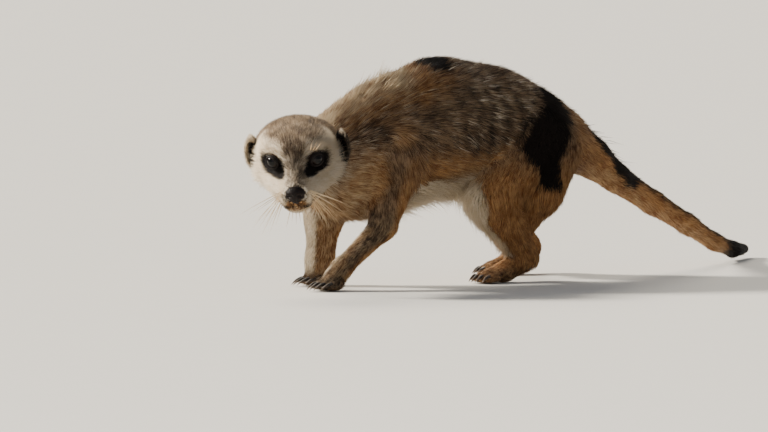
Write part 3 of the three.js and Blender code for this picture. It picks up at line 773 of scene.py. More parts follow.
def coat_material(name, colours, skin=False):
    """Fur, from the markings stored on the mesh: on the skin it also has the bump of short hair."""
    tree = ShaderTree(name)
    split = tree.node("ShaderNodeSeparateColor", None, {"Color": tree.stored("marks", "Color")})
    dark, pale, warm = (Signal(tree, split.socket.node.outputs[i]) for i in range(3))
    grey = tree.stored("marks", "Alpha")
    grain, along = tree.stored("grain"), tree.stored("along")
    patchy = tree.noise(90, 3, 0.6)
    tick = (grain * 0.95 + patchy * 0.2 - 0.08).between(0.22, 0.8)
    ticked = tree.mix(tick, colours.shadow, colours.fawn)
    colour = tree.mix(warm, ticked, tree.mix(tick, colours.russet, colours.tan))
    colour = tree.mix(grey, colour, tree.mix(tick, colours.smoke, colours.ash))
    cream = tree.mix(grain * (1.0 - warm), colours.cream, colours.white)
    colour = tree.mix((pale + (grain - 0.5) * 0.45).between(0.15, 0.85), colour, cream)
    colour = tree.mix((dark + (0.5 - grain) * 0.5).between(0.1, 0.8), colour, colours.black)
    # Painted shade: each hair darkens towards its root, where the fur shades itself; the darker band at the
    # tip is the hair's own colour.
    root = 0.42 + 0.58 * along.between(0.0, 0.6)
    tip = 1.0 - 0.2 * along.between(0.8, 1.0)
    shade = tree.node("ShaderNodeCombineColor", None, dict.fromkeys((0, 1, 2), root * tip))
    colour = tree.mix(1.0, colour, shade, "MULTIPLY")
    values = {"Base_Color": colour, "Roughness": 0.55 + 0.2 * grain, "Specular_IOR_Level": 0.18}
    if skin:
        hairs = tree.noise(1400, 2, 0.6)
        values["Normal"] = tree.bump(hairs * 0.7 + patchy * 0.3, 0.0006, 0.6)
    return tree.finish(**values)


def nose_material(colours):
    """Dark, damp skin with a fine cobbled grain."""
    tree = ShaderTree("nose_skin")
    cells = tree.node("ShaderNodeTexVoronoi", {"feature": "F1"}, {"Vector": tree.place(), "Scale": 1900.0})
    fine = tree.noise(900, 4, 0.6)
    colour = tree.mix(fine.between(0.35, 0.75), colours.nose, colours.lip)
    return tree.finish(
        Base_Color=tree.mix(0.75, colour, colours.nose),
        Roughness=0.36 + 0.25 * fine,
        Specular_IOR_Level=0.14,
        Normal=tree.bump(cells * 0.8 + fine * 0.4, 0.0003, 0.7),
    )


def eye_material(colours):
    """A very dark brown iris round a wide pupil, under a wet cornea."""
    tree = ShaderTree("eye_brown")
    ring = tree.stored("ring")
    streaks = tree.noise(1600, 3, 0.7)
    black = (0.002, 0.002, 0.002)
    iris = tree.mix(streaks.between(0.3, 0.7), colours.iris, [c * 1.6 for c in colours.iris])
    colour = tree.mix(ring.between(0.27, 0.31), black, iris)
    colour = tree.mix(ring.between(0.5, 0.58), colour, black)
    colour = tree.mix(ring.between(0.66, 0.8), colour, colours.sclera)
    return tree.finish(
        Base_Color=colour,
        Roughness=0.14 + 0.05 * streaks,
        Specular_IOR_Level=0.12,
        Coat_Weight=0.15,
        Coat_Roughness=0.03,
    )


def horn_material(colours):
    """Horn that is dark at the root and lighter towards the tip."""
    tree = ShaderTree("claw_horn")
    along = tree.stored("along")
    grain = tree.noise(700, 3, 0.6)
    colour = tree.mix(along.between(0.2, 1.0), colours.horn, colours.horn_tip)
    colour = tree.mix(grain.between(0.4, 0.8) * 0.4, colour, colours.horn)
    return tree.finish(Base_Color=colour, Roughness=0.3 + 0.2 * grain, Normal=tree.bump(grain, 0.0002, 0.4))


def whisker_material(colours):
    """Stiff hair, cream with some tan."""
    tree = ShaderTree("whisker")
    tint = tree.noise(60, 1).between(0.35, 0.7)
    colour = tree.mix(tint * 0.5, colours.cream, colours.tan)
    return tree.finish(Base_Color=colour, Roughness=0.35 + 0.1 * tint)


def stage_material(colours):
    """Matt paper with faint specks."""
    tree = ShaderTree("studio_paper")
    speck = tree.noise(30, 4, 0.6)
    colour = tree.mix(speck * 0.25, colours.paper, [c * 0.9 for c in colours.paper])
    return tree.finish(Base_Color=colour, Roughness=0.75 + 0.1 * speck)


# ---------- what a user may change ----------
def linear(text):
    """A colour's linear values from its hexadecimal name."""
    values = [int(text[i : i + 2], 16) / 255 for i in (0, 2, 4)]
    return tuple(v / 12.92 if v < 0.04045 else ((v + 0.055) / 1.055) ** 2.4 for v in values)


def colour_property(name, description, default):
    return bpy.props.FloatVectorProperty(
        name=name, description=description, default=linear(default), subtype="COLOR", size=3, min=0, max=1
    )


def amount(name, description, default, **more):
    return bpy.props.FloatProperty(name=name, description=description, default=default, **more)


class MeerkatColours(bpy.types.PropertyGroup):
    shadow: colour_property("Coat shadow", "Dark hairs of the grizzled back and flank", "261e18")
    fawn: colour_property("Coat fawn", "Light hairs of the grizzled back and flank", "907962")
    russet: colour_property("Russet", "Darker hairs of the thighs, legs and tail", "82542f")
    tan: colour_property("Tan", "Lighter hairs of the thighs, legs and tail", "cb9c67")
    smoke: colour_property("Smoke", "Dark hairs of the crown", "39302a")
    ash: colour_property("Ash", "Light hairs of the crown", "8f7d62")
    cream: colour_property("Cream", "Pale hairs of the belly and cheeks, and the whiskers", "ccb692")
    white: colour_property("White", "Palest hairs of the face", "e8decf")
    # Black colours the eye patches, the ears, three patches on the hump, haunch and tail's root, and the
    # tail's tip.
    black: colour_property("Black", "Eye patches, ears, dye marks and the tail's tip", "130c09")
    nose: colour_property("Nose", "Nose pad", "0c0908")
    lip: colour_property("Lip", "Lighter skin of the nose and lips", "3a2016")
    iris: colour_property("Iris", "Iris of the eye", "0c0503")
    sclera: colour_property("Eye white", "White of the eye, seen only at its corners", "2c1c14")
    horn: colour_property("Claw root", "Horn of the claws near the toe", "1d1613")
    horn_tip: colour_property("Claw tip", "Horn at the claws' tips", "6d5a48")
    paper: colour_property("Studio paper", "Floor and backdrop", "dcd8d0")


class MeerkatSizes(bpy.types.PropertyGroup):
    skin_grid: amount("Skin grid", "Spacing of the skin's points on the body, in millimetres", 1.7, min=1)
    head_grid: amount("Head grid", "Spacing of the skin's points on the head, in millimetres", 0.8, min=0.5)
    fullness: amount("Fullness", "Share of the coat's full number of tufts", 1.0, min=0.02, max=1.2)
    whisker_radius: amount("Whisker radius", "Half the thickness of a whisker's root", 0.0003, unit="LENGTH")
    claw_radius: amount("Claw radius", "Half the thickness of a claw's root", 0.00125, unit="LENGTH")
    lid_rim: amount("Eyelid", "Thickness of the eyelids' rims", 0.00055, unit="LENGTH")
    lens: amount("Lens", "The camera's focal length", 0.7, unit="LENGTH")


# ---------- skin ----------
# The skin's and the ears' surfaces, kept for the coat that grows on them.
made = {}
# Points lower than this are the soles' and stay flat when the skin is smoothed.
SOLE_TOP = 0.35
# A lid's section: degrees outwards from the opening's edge, and lift off the eyeball in rims.
LID_SECTION = [
    (0, 0.05), (-0.5, 0.5), (1.5, 1.0), (7, 1.2), (14, 1.1), (24, 0.7), (33, -0.6), (18, -1.6), (3, -0.7),
]


def lid_ring(side, rim):
    """A closed ring of lid over the eyeball's edge, as (points, quads) in the head's frame."""
    out = direction(side * 0.52, -0.845, 0.12)
    across = np.array((side * 0.8, 0.45, 0.34))
    across = direction(*(across - out * (across @ out)))
    up = np.cross(out, across)
    up *= np.sign(up[2])
    steps = 48
    points = []
    for t in np.linspace(0, 2 * math.pi, steps, endpoint=False):
        # The opening in degrees from its middle: an oval that is drawn out at the eye's corners.
        wide, tall = 46.0, 33.0 if math.sin(t) > 0 else 34.0
        open_to = 1 / math.sqrt((math.cos(t) / wide) ** 2 + (math.sin(t) / tall) ** 2)
        open_to += 5.0 * abs(math.cos(t)) ** 7
        sideways = across * math.cos(t) + up * math.sin(t)
        for angle, lift in LID_SECTION:
            a = math.radians(open_to + angle)
            radius = EYE_RADIUS + lift * rim
            points.append(EYE_AT * (side, 1, 1) + (out * math.cos(a) + sideways * math.sin(a)) * radius)
    return outward(np.array(points), ring_faces(steps, len(LID_SECTION), joined=True)[:, (0, 3, 2, 1)])


def outward(points, quads):
    """The same surface with its faces pointing out, going by the volume inside it."""
    a, b, c, d = (points[quads[:, i]] for i in range(4))
    volume = (a * np.cross(b, c)).sum() + (a * np.cross(c, d)).sum()
    return points, quads if volume > 0 else quads[:, ::-1]


def make_skin(sizes, colours):
    """The skin of body, legs, tail and head with its lids, and the markings that the coat shares."""
    points, quads = skin_surface(*(((sizes.head_grid, sizes.skin_grid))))
    sole = points[:, 2] < SOLE_TOP
    for _ in range(2):
        moved = points + 0.5 * (neighbours_mean(points, quads) - points)
        points = np.where(sole[:, None], points, moved)
    normals = quad_normals(points, quads)
    coat, flow, regions = survey(points)
    marks = markings(points, normals, regions)
    made["skin"] = (points, quads, normals, coat, flow, marks, regions)

    all_points, all_quads, all_marks = [points], [quads], [marks]
    for side in SIDES.values():
        lid, faces = lid_ring(side, sizes.lid_rim * 1000)
        all_quads.append(faces + sum(len(p) for p in all_points))
        all_points.append(out_of_head(lid))
        all_marks.append(np.tile((1.0, 0, 0, 0), (len(lid), 1)))
    points = to_model(np.concatenate(all_points))
    material = coat_material("skin", colours, skin=True)
    skin = mesh_object("skin", points, np.concatenate(all_quads), material)
    # The skin counts as partway along a hair, so it takes part of the coat's painted root shade.
    paint(skin, np.concatenate(all_marks), rng.random(len(points)), np.full(len(points), 0.4))
    flesh = [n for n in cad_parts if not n.startswith(("eye", "ear", "nose"))]
    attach(skin, "root")
    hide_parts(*flesh)


# ---------- eyes ----------
def make_eyes(sizes, colours):
    """Both eyeballs: rings of points round the way each eye looks, and a low cornea in front."""
    material = eye_material(colours)
    rings, around = 40, 48
    cornea, bulge = math.radians(42), 0.35
    polar = np.radians(np.linspace(0.6, 179.4, rings))
    theta = np.linspace(0, 2 * math.pi, around, endpoint=False)
    radius = EYE_RADIUS + bulge * np.cos(np.clip(polar / cornea, 0, 1) * math.pi / 2) ** 2
    a, t = (angle[..., None] for angle in np.meshgrid(polar, theta, indexing="ij"))
    for hand, side in SIDES.items():
        out = direction(side * 0.5, -0.86, 0.1)
        across = direction(*np.cross(out, (0, 0, 1.0)))
        up = np.cross(across, out)
        ring = out * np.cos(a) + (across * np.cos(t) + up * np.sin(t)) * np.sin(a)
        points, quads = outward((ring * radius[:, None, None]).reshape(-1, 3), ring_faces(rings, around))
        points = to_model(out_of_head(points + EYE_AT * (side, 1, 1)))
        eye = mesh_object("eyeball_" + hand, points, quads, material)
        close_holes(eye.data, around)
        put(eye.data, "ring", "FLOAT", np.degrees(a) / 90)
        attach(eye, "root")
        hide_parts("eye_" + hand)


def close_holes(mesh, sides, within=1.0):
    """Closes each open ring of at most that many sides, within that many metres of the origin."""
    work = bmesh.new()
    work.from_mesh(mesh)
    rims = [e for e in work.edges if e.is_boundary and max(v.co.length for v in e.verts) < within]
    bmesh.ops.holes_fill(work, edges=rims, sides=sides)
    bmesh.ops.triangulate(work, faces=[f for f in work.faces if len(f.verts) > 4])
    work.to_mesh(mesh)
    work.free()


# ---------- nose and ears ----------
def small_net(field, low, high, step):
    """A closed surface where a field in the head's frame is zero: (points, quads)."""
    lines = [np.arange(a, b, step) for a, b in zip(low, high)]
    value = field(grid_points(lines)).reshape([len(l) for l in lines])
    points, quads = net(value, lines)
    for _ in range(3):
        points = points + 0.5 * (neighbours_mean(points, quads) - points)
        points = draw_onto(field, points, steps=1)
    return points, quads


def nose_field(q):
    """A pad wider above than below, with two nostrils and the groove under them."""
    pad = union([
        Cone(NOSE_AT + (0, 4.2, 0.6), NOSE_AT + (0, 7, 1.4), 4.2, 3.6, 1.35),
        Cone(NOSE_AT + (0, 3.9, -3), NOSE_AT + (0, 6, -4), 2.9, 2.9),
    ], 2.5, *q.T)
    nostrils = both_sides(NOSE_AT + (2.4, -0.2, 0.1), NOSE_AT + (4.9, 2.4, -0.9), 1.3, 0.9)
    groove = Cone(NOSE_AT + (0, -0.3, -0.6), NOSE_AT + (0, 1.2, -5.4), 0.35, 0.4)
    hollow = np.minimum(union(nostrils, 0.4, *q.T), groove.distance(*q.T)[0])
    return -blend(0.1 - pad, hollow, 0.7)


def make_nose(sizes, colours):
    """The nose pad with its nostrils."""
    points, quads = small_net(nose_field, NOSE_AT + (-9, -3, -9), NOSE_AT + (9, 14, 8), 0.4)
    nose = mesh_object("nose_pad", to_model(out_of_head(points)), quads, nose_material(colours))
    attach(nose, "root")
    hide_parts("nose")


def ear_field(side):
    """A cup that opens forwards, with a thick rim and a fold low in front."""
    centre, half = (EAR_AT - (1.3, 0, 0.2)) * (side, 1, 1), np.array((3.9, 6.4, 9.9))
    c, s = math.cos(side * 0.35), math.sin(side * 0.35)

    def turned(q, at):
        d = q - at
        return np.stack([c * d[:, 0] + s * d[:, 1], c * d[:, 1] - s * d[:, 0], d[:, 2]], 1)

    def ellipsoid(d, half):
        k = np.linalg.norm(d / half, axis=1)
        return (k - 1) * k / np.maximum(np.linalg.norm(d / half**2, axis=1), 1e-6)

    def field(q):
        shell = ellipsoid(turned(q, centre), half)
        bowl = ellipsoid(turned(q, centre + (side * 0.5, -3.4, 0.2)), half - (1.1, 1.0, 2.0))
        fold = Cone(centre + (-side * 1.4, -4.6, -6.5), centre + (-side * 1.0, -5.2, -1.5), 1.7, 1.1)
        fold = np.maximum(fold.distance(*q.T)[0], shell - 0.8)
        return blend(-blend(-shell, bowl, 1.0), fold, 1.2)

    return field


def make_ears(sizes, colours):
    """Both ear cups, which the coat later grows short hair on."""
    material = coat_material("ear", colours, skin=True)
    for hand, side in SIDES.items():
        centre = EAR_AT * (side, 1, 1)
        field = ear_field(side)
        points, quads = small_net(field, centre - (8, 9.5, 12.5), centre + (8, 9.5, 12.5), 0.6)
        normals = quad_normals(points, quads)
        marks = ear_marks(points - centre, side)
        ear = mesh_object("ear_cup_" + hand, to_model(out_of_head(points)), quads, material)
        # The ear cups count as halfway along a hair, so they take a little of the painted root shade.
        paint(ear, marks, rng.random(len(points)), np.full(len(points), 0.5))
        made["ear_" + hand] = (points, quads, normals, marks)
        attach(ear, "root")
        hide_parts("ear_" + hand)


def ear_marks(d, side):
    """The four shares on an ear, d being from its middle: a black cup, pale along its top and outer side."""
    # Painted light: the right ear's pale rim reaches further down and its outer side is paler, on the side
    # the light comes from; the top rim is the ears' own.
    rim = ramp(d[:, 2], 7.4, 9.6) * 0.75 if side > 0 else ramp(d[:, 2], 4.5, 7.5) * 0.8
    rim = np.maximum(rim, 0.75 * ramp(d[:, 2], 5.4, 8) * ramp(side * d[:, 0], -0.4, 1.2))
    outer = ramp(side * d[:, 0], -0.6, 1.6) * ramp(d[:, 1], -4.8, -3.0) * (0.75 if side < 0 else 0.25)
    pale = np.clip(np.maximum(rim, outer), 0, 1)
    dark = 1 - np.clip(1.2 * pale, 0, 1)
    return np.stack([dark, pale, 0.5 * pale, 0.2 * pale], 1)


# ---------- claws and whiskers ----------
# A strand's points along it, and its tip's share of the root's thickness.
STRAND_POINTS, STRAND_TIP = 12, 0.06


def strand_tree(name):
    """Geometry nodes that turn each polyline into a tapered rod."""
    tree = bpy.data.node_groups.new(name, "GeometryNodeTree")
    sockets = [
        ("Geometry", "Geometry"), ("Radius", "Float"), ("Sharpness", "Float"), ("Sides", "Int"),
        ("Material", "Material"),
    ]
    for label, kind in sockets:
        socket = tree.interface.new_socket(label, in_out="INPUT", socket_type="NodeSocket" + kind)
        if label == "Radius":
            socket.subtype = "DISTANCE"
    tree.interface.new_socket("Geometry", in_out="OUTPUT", socket_type="NodeSocketGeometry")

    def node(kind, inputs=None, **attributes):
        n = tree.nodes.new(kind)
        for key, value in attributes.items():
            setattr(n, key, value)
        for key, value in (inputs or {}).items():
            if isinstance(value, bpy.types.NodeSocket):
                tree.links.new(value, n.inputs[key])
            else:
                n.inputs[key].default_value = value
        return n

    given = node("NodeGroupInput").outputs
    curve = node("GeometryNodeMeshToCurve", {0: given["Geometry"]})
    smooth = node("GeometryNodeResampleCurve", {0: curve.outputs[0], "Count": STRAND_POINTS})
    part = node("GeometryNodeSplineParameter").outputs["Factor"]
    named = {0: smooth.outputs[0], "Name": "along", "Value": part}
    kept = node("GeometryNodeStoreNamedAttribute", named, data_type="FLOAT", domain="POINT")
    rest = node("ShaderNodeMath", {0: 1.0, 1: part}, operation="SUBTRACT")
    shaped = node("ShaderNodeMath", {0: rest.outputs[0], 1: given["Sharpness"]}, operation="POWER")
    least = node("ShaderNodeMath", {0: shaped.outputs[0], 1: STRAND_TIP}, operation="MAXIMUM")
    thick = node("ShaderNodeMath", {0: least.outputs[0], 1: given["Radius"]}, operation="MULTIPLY")
    circle = {"Resolution": given["Sides"], "Radius": 1.0}
    ring = node("GeometryNodeCurvePrimitiveCircle", circle, mode="RADIUS")
    rods = {"Curve": kept.outputs[0], "Profile Curve": ring.outputs["Curve"], "Scale": thick.outputs[0]}
    skin = node("GeometryNodeCurveToMesh", {**rods, "Fill Caps": True})
    soft = node("GeometryNodeSetShadeSmooth", {0: skin.outputs[0]})
    real = node("GeometryNodeRealizeInstances", {0: soft.outputs[0]})
    painted = node("GeometryNodeSetMaterial", {0: real.outputs[0], "Material": given["Material"]})
    node("NodeGroupOutput", {"Geometry": painted.outputs[0]})
    return tree


def strands(name, lines, radius, sharpness, sides, material):
    """One piece of tapered rods, one along each line of points in the body's frame."""
    points = np.concatenate(lines)
    starts = np.cumsum([0] + [len(l) for l in lines[:-1]])
    edges = [(s + i, s + i + 1) for s, l in zip(starts, lines) for i in range(len(l) - 1)]
    mesh = bpy.data.meshes.new(name)
    mesh.from_pydata(to_model(points).tolist(), edges, [])
    piece = link(bpy.data.objects.new(name, mesh))
    modifier = piece.modifiers.new("strands", "NODES")
    modifier.node_group = strand_tree(name + "_rods")
    inputs = {"Radius": radius, "Sharpness": sharpness, "Sides": sides, "Material": material}
    for item in modifier.node_group.interface.items_tree:
        if item.in_out == "INPUT" and item.name in inputs:
            modifier[item.identifier] = inputs[item.name]
    bpy.context.view_layer.update()
    evaluated = piece.evaluated_get(bpy.context.evaluated_depsgraph_get())
    rods = bpy.data.meshes.new_from_object(evaluated)
    piece.modifiers.remove(modifier)
    piece.data = rods
    rods.name = name
    if len(rods.polygons) < len(lines):
        raise RuntimeError(name + " came out empty")
    return piece


def make_claws(sizes, colours):
    """Four claws to a foot, curving down to the floor; the forefeet's are the longer ones."""
    lines = []
    for leg in LEGS:
        length = CLAW_LENGTH[leg.split("_")[0]]
        for n in TOES:
            root, ahead = toe_frame(leg, n)
            t = np.linspace(0, 1, 7)[:, None]
            height = 4.5 - 3.5 * t**2
            lines.append(root + ahead * (4.6 + (length - 0.6) * t - 0.8) + np.array((0, 0, 1)) * height)
    claws = strands("claws", lines, sizes.claw_radius, 0.75, 8, horn_material(colours))
    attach(claws, "root")


def hair(root, toward, length, bend, count):
    """A hair's points in the body's frame, from its root, direction and bend in the head's."""
    t = np.linspace(0, 1, count)[:, None]
    return out_of_head(root + toward * length * t + bend * t**2)


def make_whiskers(sizes, colours):
    """Four rows of three whiskers on each lip, three on each brow and six under the chin."""
    lines = []
    for side in SIDES.values():
        for row in range(4):
            for n in range(3):
                root = np.array((8.6 - 0.9 * n, -36.8 + 1.9 * row - 0.9 * n, -10.6 - 1.5 * row))
                toward = np.array((0.95 - 0.12 * row - 0.08 * n, -0.3 + 0.08 * row, -0.3 - 0.26 * row))
                toward = direction(*(toward * (side, 1, 1) + rng.normal(0, 0.05, 3)))
                length = (28 - 3.4 * n) * rng.uniform(0.85, 1.0)
                sag = np.array((0, 0.25, -1.0)) * (1.4 + 0.6 * rng.random())
                lines.append(hair(root * (side, 1, 1), toward, length, sag, 8))
        for n in range(3):
            root = EYE_AT * (side, 1, 1) + (side * (n * 1.6 - 2), -2.5, 6.6)
            toward = direction(side * (0.25 + 0.2 * n), -0.5, 0.9)
            lines.append(hair(root, toward, 8, np.array((0, 1.5, 0.6)), 6))
    for n in range(6):
        root = np.array((1.6 * (n - 2.5), -36 + 0.4 * abs(n - 2.5), -22.5))
        toward = np.array((0.12 * (n - 2.5), -0.25 + 0.1 * rng.random(), -0.95))
        lines.append(hair(root, toward, rng.uniform(9, 15), np.array((0, 1.5, 0)), 6))
    whiskers = strands("whiskers", lines, sizes.whisker_radius, 0.8, 5, whisker_material(colours))
    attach(whiskers, "root")


# ---------- coat ----------
# Millimetres: how wide a lock is at its roots, and how near the floor a hair may come.
LOCK_CELL, LOWEST_HAIR = 2.6, 0.3
# More cells than the animal spans on any side.
MANY_CELLS = 4096
# Half the width of a tuft's patch in the unwrap, and how far in metres tufts stay inside the solids' box.
PATCH, BOX_GAP = 0.0015, 0.0001
# Millimetres: where the rump starts, counted backwards, and the lower ends of upper legs and shanks.
RUMP_FROM, UPPER_LEG_END, SHANK_END = -12, 42, 12
EAR_DENSITY = 9.0


def scatter(points, quads, density, share):
    """Even, random places over a surface: (each one's four corners, their weights)."""
    a, b, c, d = (points[quads[:, i]] for i in range(4))
    first = np.linalg.norm(np.cross(b - a, c - a), axis=1) / 2
    second = np.linalg.norm(np.cross(c - a, d - a), axis=1) / 2
    area = np.stack([first, second], 1) * density[quads].mean(1)[:, None] * share
    edge = np.cumsum(area.ravel())
    count = int(edge[-1])
    place = (np.arange(count) + rng.random(count)) * edge[-1] / count
    at = np.minimum(np.searchsorted(edge, place), len(edge) - 1)
    quad, half = at // 2, at % 2
    u, v = rng.random(count), rng.random(count)
    over = u + v > 1
    u, v = np.where(over, 1 - u, u), np.where(over, 1 - v, v)
    weights = np.zeros((count, 4))
    weights[:, 0] = 1 - u - v
    weights[:, 1] = np.where(half == 0, u, 0)
    weights[:, 2] = np.where(half == 0, v, u)
    weights[:, 3] = np.where(half == 0, 0, v)
    return quads[quad], weights


def at_places(values, corners, weights):
    """Values of a surface's points at places on it."""
    values = values if values.ndim > 1 else values[:, None]
    return np.einsum("nk,nkc->nc", weights, values[corners])


def gather(root, tip, cell, share):
    """Tips drawn together into locks, each towards the mean of those whose roots share a cell.

    Returns the tips and a random number for each, the same throughout a lock.
    """
    sway = np.stack([wobble(root, 11, k) for k in (0, 1, 2)], 1)
    key = np.floor((root + 0.35 * cell * sway) / cell).astype(int)
    group = np.unique(key @ (1, MANY_CELLS, MANY_CELLS**2), return_inverse=True)[1]
    count = np.bincount(group)
    lock = rng.random(len(count))[group]
    mean = np.stack([np.bincount(group, (tip - root)[:, i]) / count for i in range(3)], 1)
    middle = np.stack([np.bincount(group, root[:, i]) / count for i in range(3)], 1)
    meet = (middle + mean)[group]
    return tip + (meet - tip) * share[:, None], lock


def lay(root, normal, flow, coat, fluff):
    """The middle, tip and lock of each tuft, in the body's frame."""
    depth, length, _, _, stray = coat.T
    length = length * (1 + 0.35 * fluff)
    stray = stray + 0.5 * fluff
    along = unit(flow - normal * (flow * normal).sum(1)[:, None])
    sideways = np.cross(normal, along)
    swing = 0.16 * rng.normal(size=len(root)) + 0.28 * wobble(root, 23, 4) + 0.16 * wobble(root, 7, 5)
    along = along * np.cos(swing)[:, None] + sideways * np.sin(swing)[:, None]
    length = length * rng.uniform(0.7, 1.2, len(root)) * (1 + 0.15 * wobble(root, 17, 6))
    fuzz = np.abs(rng.normal(size=len(root))) * stray
    middle = root + along * (0.42 * length)[:, None] + normal * (0.45 * depth)[:, None]
    middle = draw_onto(outline, middle, -SKIN_SHARE * depth * (0.42 - 0.3 * fuzz), 1)
    tip = root + along * length[:, None] + normal * (0.5 * depth)[:, None]
    tip = draw_onto(outline, tip, -SKIN_SHARE * depth * rng.uniform(0.02, 0.3, len(root)) + fuzz * depth, 2)
    tip, lock = gather(root, tip, LOCK_CELL, 0.5 * ramp(length, 4, 9))
    return middle, np.maximum(tip, (-1e9, -1e9, LOWEST_HAIR)), lock


# A tuft's faces and its patch of the unwrap. A long one is its root, three points round its middle and
# its tip; a short one is three points round its root and its tip.
LONG_FACES = np.array([(1, 2, 0), (2, 3, 0), (3, 1, 0), (2, 1, 4), (3, 2, 4), (1, 3, 4)])
LONG_PATCH = np.array([(-1, 0), (0, -1), (0, 0), (0, 1), (1, 0)]) * PATCH
SHORT_FACES = np.array([(1, 0, 3), (2, 1, 3), (0, 2, 3), (0, 1, 2)])
SHORT_PATCH = np.array([(-1, -1), (-1, 0), (-1, 1), (1, 0)]) * PATCH


def tufts(name, root, middle, tip, normal, width, marks, shade, unwrap, material, short):
    """One piece of tufts: each a thin closed spike, bent at its middle unless it is short."""
    count = len(root)
    along = unit(middle - root)
    side = unit(np.cross(along, normal)) * width[:, None]
    lift = np.cross(side, along)
    corners = [-1.25 * side - 0.2 * lift, 1.25 * side - 0.2 * lift, 0.8 * lift]
    if short:
        points = np.stack([root + 0.8 * c for c in corners] + [tip], 1)
        faces, patch, part = SHORT_FACES, SHORT_PATCH, [0.15] * 3 + [1]
    else:
        points = np.stack([root] + [middle + c for c in corners] + [tip], 1)
        faces, patch, part = LONG_FACES, LONG_PATCH, [0] + [0.5] * 3 + [1]
    size = points.shape[1]
    low, high = (np.array(corner) for corner in CAD_BOUNDS)
    points = np.clip(to_model(points.reshape(-1, 3)), low + BOX_GAP, high - BOX_GAP)
    all_faces = (faces[None] + size * np.arange(count)[:, None, None]).reshape(-1, 3)
    piece = mesh_object(name, points, all_faces, material)
    grain = np.repeat(0.4 * shade + 0.6 * rng.random(count), size)
    paint(piece, np.repeat(marks, size, 0), grain, np.tile(part, count))
    layer = piece.data.uv_layers.new(name="OFBake")
    places = (unwrap[:, None] + patch[None])[:, faces.ravel()]
    layer.data.foreach_set("uv", places.astype(np.float32).ravel())
    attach(piece, "root")
    return piece


def round_axis(points, cones):
    """The unwrap round a chain of cones: how far along it a point is, and the angle round it."""
    best, length = None, 0.0
    for cone in cones:
        d, t = cone.distance(*points.T)
        side = unit(np.cross(cone.axis, (1.0, 0.2, 0.1))[None])[0]
        other = np.cross(cone.axis, side)
        out = points - cone.a
        angle = np.arctan2(out @ side, out @ other) / (2 * math.pi) + 0.5
        step = np.linalg.norm(cone.b - cone.a)
        row = (d, length + t * step, angle)
        length += step
        if best is not None:
            row = tuple(np.where(d < best[0], new, old) for new, old in zip(row, best))
        best = row
    return 0.01 + 0.98 * np.stack([best[1] / length, best[2]], 1)


def round_head(points):
    """The unwrap round the head's middle: the angle round it and the height on it."""
    q = into_head(points) + (0, 10, 4)
    around = np.arctan2(q[:, 0], -q[:, 1]) / (2 * math.pi) + 0.5
    return 0.01 + 0.98 * np.stack([around, np.arccos(np.clip(unit(q)[:, 2], -1, 1)) / math.pi], 1)


def coat_parts(root, regions):
    """Each coat piece's name, slot, unwrap, whether its tufts are short, and which roots are its."""
    x, y, z = root.T
    nearest = np.argmax([regions[name] for name in REGIONS], axis=0)
    on = {name: nearest == i for i, name in enumerate(REGIONS)}
    front = into_head(root)[:, 1] < -12
    parts = [
        ("coat_face", "coat_face", HEAD, True, on["head"] & front),
        ("coat_crown", "coat_face", HEAD, True, on["head"] & ~front),
        ("coat_nape", "coat_flank", NECK, False, on["neck"]),
        ("coat_tail", "coat_tail", TAIL, False, on["tail"]),
    ]
    for hand, side in SIDES.items():
        own = on["trunk"] & (side * x > 0)
        parts.append(("coat_shoulder_" + hand, "coat_flank", TRUNK, False, own & (y < RUMP_FROM)))
        parts.append(("coat_rump_" + hand, "coat_back", TRUNK, False, own & (y >= RUMP_FROM)))
        for end, upper in (("front", "arm"), ("hind", "thigh")):
            leg = end + "_" + hand
            bones, own = chain(LEGS[leg].bones), on[leg]
            shank = own & (z < UPPER_LEG_END) & (z >= SHANK_END)
            parts.append((f"coat_{upper}_{hand}", "coat_leg", bones, False, own & (z >= UPPER_LEG_END)))
            parts.append((f"coat_{end}_shank_{hand}", "coat_leg", bones, False, shank))
            parts.append((f"coat_{end}_foot_{hand}", "coat_leg", bones, True, own & (z < SHANK_END)))
    return parts


def clear_of_openings(root):
    """Where hair grows: not on the eyes' rims, the nose pad, between the lips or under the soles."""
    q = into_head(root)
    clear = np.ones(len(root), bool)
    for side in SIDES.values():
        clear &= np.linalg.norm(q - EYE_AT * (side, 1, 1), axis=1) > EYE_RADIUS + 0.55
    clear &= nose_field(q) > 0.4
    clear &= union(MOUTH, 0.5, *q.T) > 0.3
    return clear & (root[:, 2] > 0.6)


